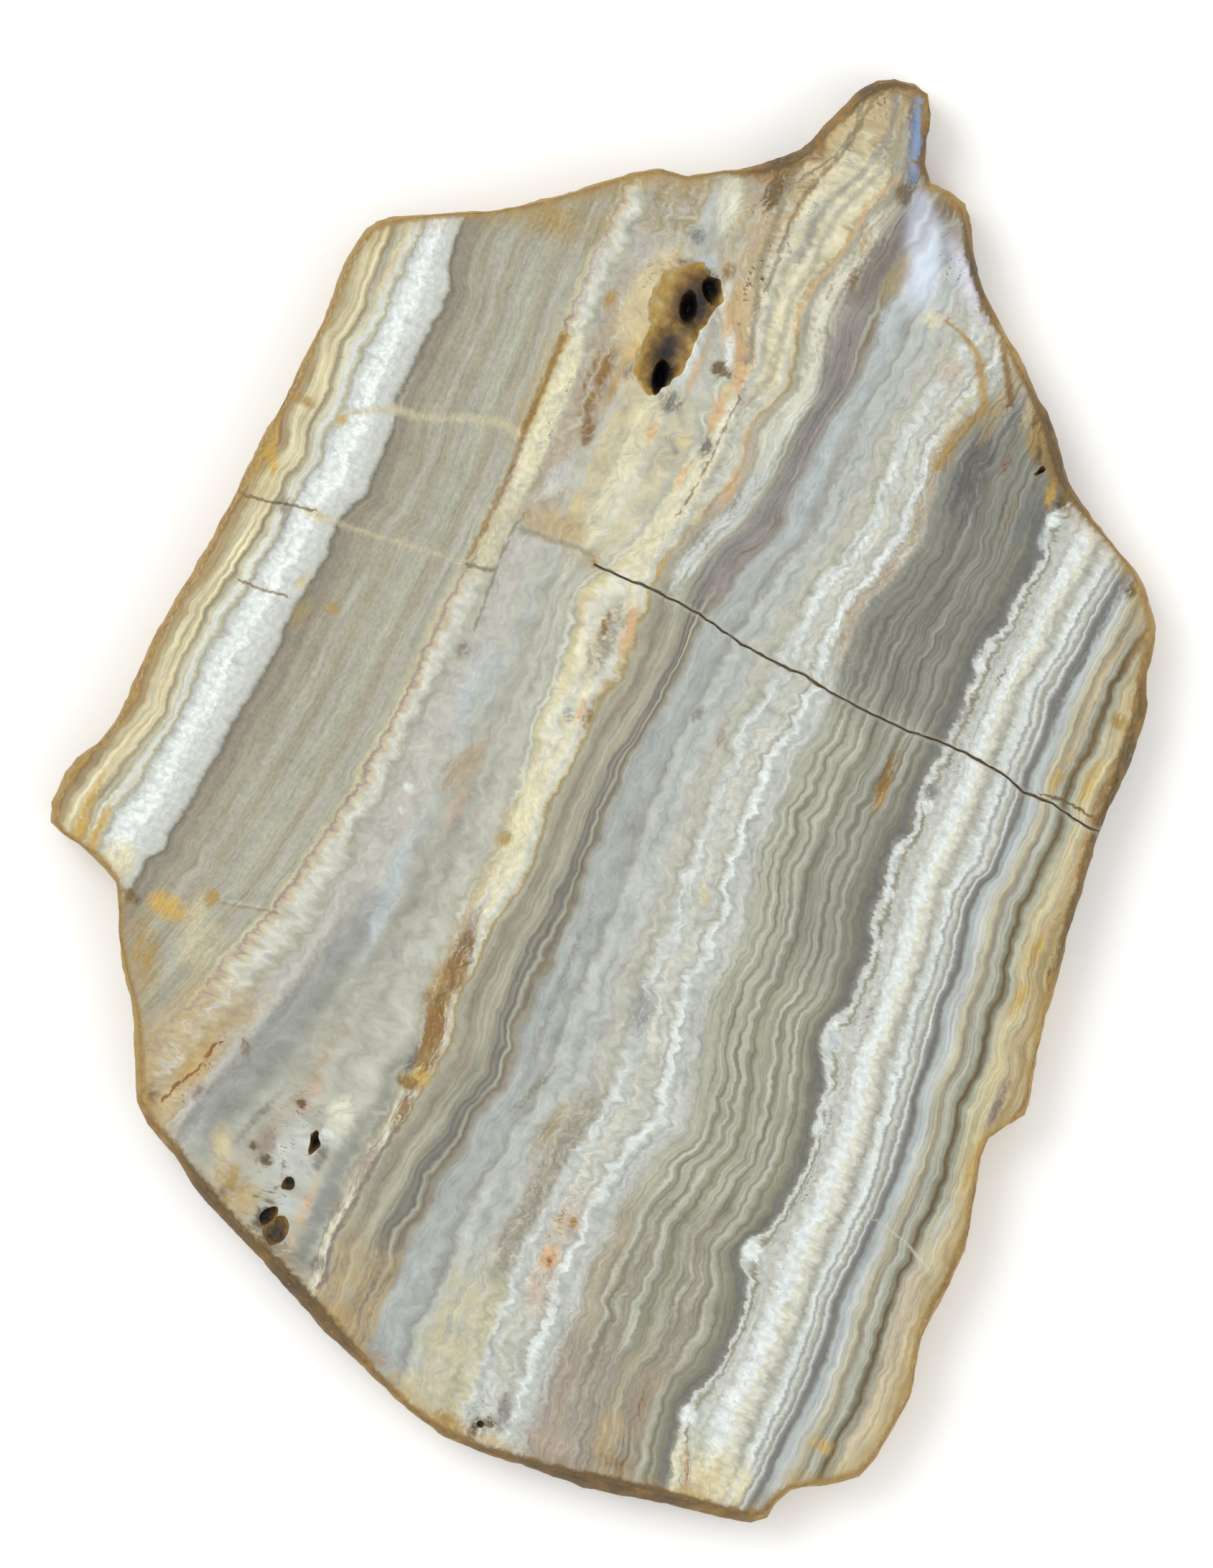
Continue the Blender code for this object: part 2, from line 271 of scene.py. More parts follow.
# %% A merged copy
MERGE = 1e-6
CUT_REACH = MERGE / 10
FACE_REACH = MERGE * 10
FLAT = 0.9995
FLAT_ANGLE = math.radians(0.2)
WIDE_SQUARE = 1.8 * MM
NARROW_SQUARE = 0.62 * MM
JOIN_ANGLE = math.radians(40)
RIND_CUTS = 2


def merged_copy(source):
    """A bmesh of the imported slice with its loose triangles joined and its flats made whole."""
    mesh = bmesh.new()
    mesh.from_mesh(source.data)
    bmesh.ops.remove_doubles(mesh, verts=mesh.verts, dist=MERGE)
    flat = [e for e in mesh.edges if all(abs(f.normal.z) > FLAT for f in e.link_faces)]
    bmesh.ops.dissolve_limit(mesh, angle_limit=FLAT_ANGLE, verts=mesh.verts, edges=flat)
    return mesh


stone = merged_copy(SLICE)
print("joined copy:", len(stone.faces), "faces")


# %% Cutting by planes
def crosses(face, axis, value):
    """Whether a face reaches over the plane at that value of the axis."""
    places = [vert.co[axis] for vert in face.verts]
    return min(places) < value - MERGE and max(places) > value + MERGE


def cut_between(mesh, faces, axis, values):
    """Cuts the faces at every one of the values along the axis, the middle value first."""
    if not faces or not values:
        return faces
    middle = len(values) // 2
    value = values[middle]
    crossing = [face for face in faces if crosses(face, axis, value)]
    if crossing:
        apart = [face for face in faces if not crosses(face, axis, value)]
        parts = {e for f in crossing for e in f.edges} | {v for f in crossing for v in f.verts}
        plane = [Vector(), Vector()]
        plane[0][axis] = value
        plane[1][axis] = 1
        cut = bmesh.ops.bisect_plane(mesh, geom=crossing + list(parts), dist=CUT_REACH,
                                     plane_co=plane[0], plane_no=plane[1])
        faces = apart + [part for part in cut["geom"] if isinstance(part, bmesh.types.BMFace)]
    low = [face for face in faces if face.calc_center_median()[axis] < value]
    high = [face for face in faces if face.calc_center_median()[axis] >= value]
    return cut_between(mesh, low, axis, values[:middle]) + cut_between(
        mesh, high, axis, values[middle + 1:])


def cut_squares(mesh, faces, size):
    """Cuts the faces into squares of a size, along both axes."""
    for axis in (0, 1):
        first = math.ceil(CAD_BOX[0][axis] / size)
        last = math.floor(CAD_BOX[1][axis] / size)
        faces = cut_between(mesh, faces, axis, [step * size for step in range(first, last + 1)])


# %% The two flats and what lies between
def is_top(face):
    return face.normal.z > FLAT and face.calc_center_median().z > THICKNESS - FACE_REACH


def is_base(face):
    return face.normal.z < -FLAT and face.calc_center_median().z < FACE_REACH


def refine_rough(mesh):
    """Joins the rough faces' triangles into quads and subdivides them."""
    rough = [f for f in mesh.faces if not is_top(f) and not is_base(f)]
    bmesh.ops.join_triangles(mesh, faces=rough, angle_face_threshold=JOIN_ANGLE,
                             angle_shape_threshold=JOIN_ANGLE)
    rough = [f for f in mesh.faces if not is_top(f) and not is_base(f)]
    edges = {e for f in rough for e in f.edges}
    bmesh.ops.subdivide_edges(mesh, edges=list(edges), cuts=RIND_CUTS, use_grid_fill=True)


refine_rough(stone)
print("rough faces subdivided:", len(stone.faces), "faces")


# %% Squares on both flats
cut_squares(stone, [face for face in stone.faces if is_base(face)], WIDE_SQUARE)
cut_squares(stone, [face for face in stone.faces if is_top(face)], NARROW_SQUARE)
stone.faces.ensure_lookup_table()
stone.verts.ensure_lookup_table()
triangles = sum(len(face.verts) - 2 for face in stone.faces)
print("squares:", len(stone.faces), "faces,", triangles, "triangles,",
      round(stone.calc_volume() / MM ** 3), "cubic mm")


# %% [markdown]
# Which surface is which
#
# Four surfaces meet on this stone, and each is finished in its own way: the polish, the sawn
# face, the rind and the glassy hollows with the fracture's groove. The two flats are known by
# height and direction. What is left falls into islands; the one that touches the sawn face is the
# rind, and the others are hollows.

# %% The fracture, and how far a point stands from it
POLISH, SAWN, RIND, HOLLOW = range(4)
FRACTURE_PIXELS = [
    (826, 788), (868, 805), (905, 819), (942, 838), (974, 856), (1006, 878), (1046, 905),
    (1088, 928), (1122, 950), (1160, 976), (1205, 1000), (1262, 1025), (1305, 1038),
    (1345, 1052), (1400, 1082), (1425, 1103), (1465, 1120), (1500, 1142), (1556, 1168),
]
GROOVE_REACH = 0.9
GROOVE_FLOOR = THICKNESS - 0.5 * MM


def from_photo(right, down):
    """The (along, across) of a pixel of the photograph."""
    x = (right - MIDDLE_PIXEL[0]) * PIXEL
    y = (MIDDLE_PIXEL[1] - down) * PIXEL
    return band_frame(x, y)[::-1]


FRACTURE = [from_photo(*pixel) for pixel in FRACTURE_PIXELS]
FRACTURE_START, FRACTURE_END = FRACTURE[0][1], FRACTURE[-1][1] - 2


def off_line(places, across, along):
    """How far along a line's own place each point stands: 0 on the line, signed either side."""
    alongs, acrosses = zip(*places)
    order = np.argsort(acrosses)
    return along - np.interp(across, np.array(acrosses)[order], np.array(alongs)[order])


print("the fracture runs over", round(FRACTURE_END - FRACTURE_START), "mm")


# %% Sorting the faces
def sort_faces(mesh):
    """Gives every face the number of its surface."""
    for face in mesh.faces:
        if is_top(face):
            face.material_index = POLISH
        elif is_base(face):
            face.material_index = SAWN
        else:
            face.material_index = HOLLOW
    wave = [f for f in mesh.faces if f.material_index == HOLLOW
            and any(n.material_index == SAWN for e in f.edges for n in e.link_faces)]
    for face in wave:
        face.material_index = RIND
    while wave:
        near = {n for f in wave for e in f.edges for n in e.link_faces
                if n.material_index == HOLLOW}
        for face in near:
            face.material_index = RIND
        wave = list(near)
    for face in mesh.faces:
        centre = face.calc_center_median()
        if face.material_index != RIND or centre.z < GROOVE_FLOOR:
            continue
        across, along = band_frame(centre.x / MM, centre.y / MM)
        off = float(off_line(FRACTURE, across, along))
        if abs(off) < GROOVE_REACH and FRACTURE_START < across < FRACTURE_END:
            face.material_index = HOLLOW


sort_faces(stone)
for number, title in enumerate(("polish", "sawn face", "rind", "hollows and groove")):
    area = sum(f.calc_area() for f in stone.faces if f.material_index == number)
    print(title, round(area / MM ** 2), "square mm")


# %% [markdown]
# Roughening the rind and the hollows
#
# Bark that has turned to stone stands in upright ribs with crumbs between them, and the hollow is
# lined with small crystals. Both are pushed into the mesh rather than painted, because they show
# against the light along the edge. The rind only moves inwards, so the stone never outgrows the
# packed slice, and the corners that meet a flat stay where they are, so the flats stay flat.

# %% Ribs, crumbs and crystals
RIB_DEPTH = 0.26 * MM
RIB_WIDTH = 1.9 * MM
RIB_LENGTH = 3.5
CRUMB_DEPTH = 0.16 * MM
CRUMB_SIZE = 0.8 * MM
CRYSTAL_DEPTH = 0.30 * MM
CRYSTAL_SIZE = 0.75 * MM
CRYSTAL_MIDDLE = 0.45


def rind_push(spot):
    """How far a point of the rind moves: inwards, more on a rib's flank and at a crumb."""
    ribbed = Vector((spot.x, spot.y, spot.z / RIB_LENGTH)) / RIB_WIDTH
    rib = abs(noise.noise(ribbed))
    crumb = noise.noise(spot / CRUMB_SIZE) * 0.5 + 0.5
    return -RIB_DEPTH * rib - CRUMB_DEPTH * crumb


def crystal_push(spot):
    """How far a point of a hollow moves, out to the tip of its crystal or in between two."""
    near, _ = noise.voronoi(spot / CRYSTAL_SIZE)
    return CRYSTAL_DEPTH * (near[0] - CRYSTAL_MIDDLE)


def roughen(mesh):
    """Moves the rough points along their normals, but not those that meet another surface."""
    moves = []
    for vert in mesh.verts:
        kinds = {face.material_index for face in vert.link_faces}
        if kinds == {RIND}:
            moves.append((vert, rind_push(vert.co)))
        elif kinds == {HOLLOW} and vert.co.z < GROOVE_FLOOR:
            moves.append((vert, crystal_push(vert.co)))
    for vert, push in moves:
        vert.co += vert.normal * push
    return len(moves)


print(roughen(stone), "points roughened")


# %% [markdown]
# Lips and crack
#
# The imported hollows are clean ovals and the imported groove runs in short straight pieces. Noise
# moves the points near them a little to and fro in the plane of the polish, which costs no new
# faces and leaves the polish flat.

# %% The lips of the hollows
LIP_REACH = 2.4 * MM
LIP_WAVER = 0.7 * MM
LIP_SIZE = 1.7 * MM


def off_groove(spot):
    """Whether a point stands clear of the fracture."""
    across_here, along_here = band_frame(spot.x / MM, spot.y / MM)
    off = float(off_line(FRACTURE, across_here, along_here))
    return abs(off) > GROOVE_REACH or across_here < FRACTURE_START


def loosen_lips(mesh):
    """Wavers the points on and near the hollows' lips sideways, so that no lip is a clean oval."""
    lips = [v.co.copy() for v in mesh.verts
            if {f.material_index for f in v.link_faces} == {POLISH, HOLLOW}
            and off_groove(v.co)]
    near_lips = kdtree.KDTree(len(lips))
    for index, lip in enumerate(lips):
        near_lips.insert(lip, index)
    near_lips.balance()
    for vert in mesh.verts:
        gap = near_lips.find(vert.co)[2]
        if gap < LIP_REACH and vert.co.z > THICKNESS / 2:
            wave = noise.noise_vector(vert.co / LIP_SIZE) * LIP_WAVER * (1 - gap / LIP_REACH)
            vert.co += Vector((wave.x, wave.y, 0))
    return len(lips)


print(loosen_lips(stone), "points on the hollows' lips")


# %% The course of the crack
CRACK_REACH = 2.5
CRACK_WAVER = 0.30
CRACK_SIZE = 1.1 * MM
# How far down the slice the crack is moved, in mm, at places across it.
CRACK_SHIFT = [(-16, -0.5), (-10, 0.0), (12, 0.0), (16, -0.7), (22, -0.8), (30, -0.75),
               (36, -0.4), (42, -0.1), (50, 0.0), (60, 0.3)]


def crack_shift(across_here):
    """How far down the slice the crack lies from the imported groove, at a place across it."""
    places, shifts = zip(*CRACK_SHIFT)
    return float(np.interp(across_here, places, shifts))


def follow_crack(mesh):
    """Bends the groove a little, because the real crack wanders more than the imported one."""
    down = Vector((-math.sin(BAND_TURN), -math.cos(BAND_TURN), 0))
    points = [vert for vert in mesh.verts if vert.co.z > THICKNESS / 2]
    across_points, along_points = band_frame(np.array([vert.co.x for vert in points]) / MM,
                                             np.array([vert.co.y for vert in points]) / MM)
    offs = np.abs(off_line(FRACTURE, across_points, along_points))
    inside = (across_points > FRACTURE_START - 1) & (across_points < FRACTURE_END)
    near = (offs < CRACK_REACH) & inside
    for number in np.flatnonzero(near):
        vert = points[number]
        wave = noise.noise(vert.co / CRACK_SIZE) * CRACK_WAVER
        shift = crack_shift(across_points[number]) + wave
        vert.co += down * MM * shift * (1 - offs[number] / CRACK_REACH)
    return int(near.sum())


print(follow_crack(stone), "points moved with the crack")


# %% [markdown]
# Numbers on every point
#
# Each point of the mesh carries its place in the wood and its distance from things that the
# colour depends on: the rim of the polish, the fracture, the hairlines, the stains. The node
# materials read them as attributes. A line is kept as a signed offset, not as a distance,
# because a signed number passes through zero evenly between two points and so draws a line much
# finer than the squares.

# %% Reading points into arrays
def rim_points(mesh):
    """Points on the border between the polish and the rind."""
    return {v.index for e in mesh.edges for v in e.verts
            if {f.material_index for f in e.link_faces} == {POLISH, RIND}}


mesh_data = bpy.data.meshes.new("petrified_wood_slice")
stone.verts.index_update()
border = rim_points(stone)
tree = kdtree.KDTree(len(border))
for index in border:
    tree.insert(stone.verts[index].co, index)
tree.balance()
rim = np.array([tree.find(v.co)[2] for v in stone.verts]) / MM
stone.to_mesh(mesh_data)
stone.free()
points = np.empty(len(mesh_data.vertices) * 3)
mesh_data.vertices.foreach_get("co", points)
points = points.reshape(-1, 3) / MM
across, along = band_frame(points[:, 0], points[:, 1])
band = band_number(across, along)
depth = THICKNESS / MM - points[:, 2]
print(len(points), "points,", len(border), "of them on the rim of the polish")


# %% Numbers kept on the points
def keep(name, values):
    """Stores one number for every point of the stone under a name."""
    attribute = mesh_data.attributes.new(name, "FLOAT", "POINT")
    attribute.data.foreach_set("value", np.ascontiguousarray(values, dtype=np.float32))


PACKED = {}


def keep_packed(title, numbers):
    """Stores named numbers three by three in vectors, which are quicker to look up."""
    names = list(numbers)
    for start in range(0, len(names), 3):
        vector_name = f"{title}_{start // 3}"
        columns = np.zeros((len(points), 3), dtype=np.float32)
        for channel, name in enumerate(names[start:start + 3]):
            columns[:, channel] = numbers[name]
            PACKED[name] = (vector_name, channel)
        attribute = mesh_data.attributes.new(vector_name, "FLOAT_VECTOR", "POINT")
        attribute.data.foreach_set("vector", columns.ravel())


keep("across", across)
keep("along", along)
keep("band", band)
keep("rim", rim)
keep("depth", depth)
keep("fracture", off_line([(a + crack_shift(c), c) for a, c in FRACTURE], across, along))
print(len(mesh_data.attributes), "attributes so far")


# %% [markdown]
# The palette
#
# Not quite fifty stone colours, each named, cover everything on the slice. They are given as they
# look in soft daylight. `paint` turns one into the colour that the surface itself needs: it
# takes off the faint sheen that the polish adds and divides by how bright the light is.

# %% Stone colours
LIGHT_LEVEL = 1.30
SHEEN = 0.018
PALETTE = {
    "soot": "2a2015", "bark": "4b3a26", "umber": "6e5a3a", "walnut": "8a6c48",
    "ochre_brown": "94733c", "ochre": "b4965a", "gold": "d4b05e", "amber": "8a5a1c",
    "rust": "9a5f3a", "orange": "ddb585", "tan": "c2ae86", "khaki": "a8976f", "fawn": "b7a78c",
    "sand": "c6b78f", "linen": "cfc7a5", "straw": "d8caa0", "cream": "e8e0bb", "ivory": "e4e3cd",
    "pearl": "d6d6c8", "white": "e9efea", "snow": "f3f7f3", "chalk": "dadfd9", "silver": "ced0c8",
    "ice": "c2cbcb", "mist": "bfc3ba", "cool": "b3b8b3", "haze": "b5b6a9", "ash": "a4a59d",
    "pale_stone": "c5c5b7", "stone": "b6b4a4", "dove": "c2beb5", "clay": "ada892",
    "taupe": "9c9584", "deep_taupe": "837b69", "sage": "a5a490", "moss": "b6b6a2",
    "drab": "8b8873", "olive_grey": "92907d", "slate": "8b8b87", "lead": "7d7b76",
    "coal": "57534b", "mauve": "9d9692", "plum": "8e8178", "rose": "a99b8f", "blush": "cbb9a5",
}


def linear(channel):
    return channel / 12.92 if channel <= 0.04045 else ((channel + 0.055) / 1.055) ** 2.4


def paint(name):
    """The surface colour, in linear light, that will be seen as the named palette colour."""
    hexes = PALETTE[name]
    seen = [linear(int(hexes[i:i + 2], 16) / 255) for i in (0, 2, 4)]
    return (*[max(0.002, (value - SHEEN) / LIGHT_LEVEL) for value in seen], 1.0)


print(len(PALETTE), "colours")


# %% [markdown]
# Growth layers
#
# Wood that turned to stone in a vein filled layer by layer, from its walls inwards, and each
# layer took the colour of the water of its time. So the slice needs only one list, from rim to
# rim: what lies between one seam and the next. A zone names its layers from left to right with
# their shares of its width, and says how often they repeat. Widths and tones are then loosened by
# a seeded random, as no two layers in the stone are alike. Two sets are made, so that a layer can
# thin out along the slice while its neighbour takes over.

# %% The layers between the seams
ZONES = {
    "outer rim": (1, "ochre 1, tan .8, ochre_brown .5, khaki .7, gold .5, walnut .35, fawn .8, "
                     "khaki .4, linen .9, cream 1.1, straw .7, cream .5, linen .5, khaki .4"),
    "cream edge": (1, "stone .35, linen .4, ivory .7, chalk .5, linen .3, haze .3"),
    "white fringe": (1, "silver .5, chalk .8, white 1.4, snow 1.4, chalk 2, silver 1.6, mist .7"),
    "wood block": (1, "deep_taupe .5, taupe 2.2, clay 2.8, stone 1.2, clay 1.8, stone 1.8, "
                      "moss 1.6, clay 1.2, stone 1.5, moss .8, linen .5"),
    "rose seam": (1, "rose .25, blush .3, linen .4, pearl 1, pale_stone .7, moss .5, stone .5"),
    "mist": (1, "dove 1.2, pale_stone 1.2, dove 2, pale_stone 1.4, mist 1.8"),
    "grey cloud": (1, "haze 1.6, stone 1.2, pale_stone 1.6, stone .8, pale_stone 1.8, moss .6, "
                      "pearl .4"),
    "cream pocket": (1, "moss .3, linen .4, straw .3, ivory 1, pearl .8, cream .6, ivory 1, "
                        "pearl .6, linen .4, khaki .35"),
    "taupe lines": (1, "moss .5, clay .5, taupe .9, clay .8, moss .6, clay .5, sage .4, "
                       "lead .25"),
    "slate lines": (1, "taupe .35, lead .25, moss .25, deep_taupe .35, taupe .4"),
    "cool chalcedony": (1, "cool 3.4, ash .5, mist 1.5, cool .6, mist 1.2, dove 1, "
                           "pale_stone 1.2, moss .8, silver .7, chalk .4, mist 1, pearl .7, "
                           "pale_stone .8, silver .6, stone .5, chalk .6, white .5, mist 1.1, "
                           "silver 1, haze .8"),
    "fine laminae": (2, "moss 1, sage .5, pale_stone .45, sage .4, drab .2, moss .8, stone .5, "
                        "olive_grey .35, pale_stone .5, sage .8, drab .2, sage .5"),
    "dark band": (1, "olive_grey .4, drab .5, lead .5, lead .4, drab .3"),
    "knobs": (1, "slate .3, silver .5, chalk .7, sage .3, taupe .35, pale_stone .4, mist .5, "
                 "silver .8"),
    "white band": (1, "pale_stone .4, chalk .7, white 1.6, ivory .7, pearl .5, dove .35"),
    "grey lines": (1, "moss .3, haze .4, chalk .7, white .5, ash .3, chalk .5, stone .3"),
    "lilac line": (1, "ash .25, chalk .4, ash .25, slate .3, lead .3"),
    "cool edge": (1, "slate .3, cool .45, ice .5, silver .7, pale_stone .5, linen .4, clay .5, "
                     "taupe .35, pale_stone .6, moss .6, drab .3"),
    "warm rim": (1, "umber .35, drab .35, moss .5, linen .9, straw .6, linen .5, tan .6, "
                    "sand .7, khaki .7, sand .9, walnut .35, sand .9, tan 1"),
}
RIMS = (-62.0, 64.0)
WIDTH_PLAY, TONE_PLAY = 0.28, 0.05
FLAT_SHARE = 0.30
THIN_LAYER = 1.0


def zone_layers(left, right, repeats, words, random):
    """(place, colour) of the layers between two seams, the wide ones with a flat middle."""
    pairs = [pair.split(" ") for pair in words.split(", ")] * repeats
    shares = np.array([float(share) for _, share in pairs])
    shares *= random.uniform(1 - WIDTH_PLAY, 1 + WIDTH_PLAY, len(shares))
    widths = (right - left) * shares / shares.sum()
    centres = left + np.cumsum(widths) - widths / 2
    for (name, _), width, centre in zip(pairs, widths, centres):
        tone = random.uniform(1 - TONE_PLAY, 1 + TONE_PLAY)
        colour = (*(channel * tone for channel in paint(name)[:3]), 1.0)
        half = width * FLAT_SHARE if width > THIN_LAYER else 0.0
        yield float(centre - half), colour
        if half:
            yield float(centre + half), colour


def growth_layers(seed):
    random = np.random.default_rng(seed)
    edges = [RIMS[0], *SEAM_BANDS, RIMS[1]]
    return [layer for left, right, (repeats, words) in zip(edges, edges[1:], ZONES.values())
            for layer in zone_layers(left, right, repeats, words, random)]


LAYER_SETS = [growth_layers(seed=4), growth_layers(seed=9)]
assert len(ZONES) == len(SEAM_BANDS) + 1
print(len(ZONES), "zones with", len(LAYER_SETS[0]), "steps of colour in the first set")


# %% [markdown]
# Stains, in patches and stretches
#
# Iron and manganese crept in from the rim and along cracks, so the bands alone are too clean.
# Each patch below is an oval, (along, across, half length, half width, turn in degrees, colour,
# strength), and each stretch is a part of a band that took another colour. Every colour gets a
# number on each point, which is full in the middle of its patches and falls to nothing at their
# edges; the shader breaks the edge up, so no oval is seen. Shades are stretches that are only
# darker and greyer, and specks are patches strewn with dark dots.

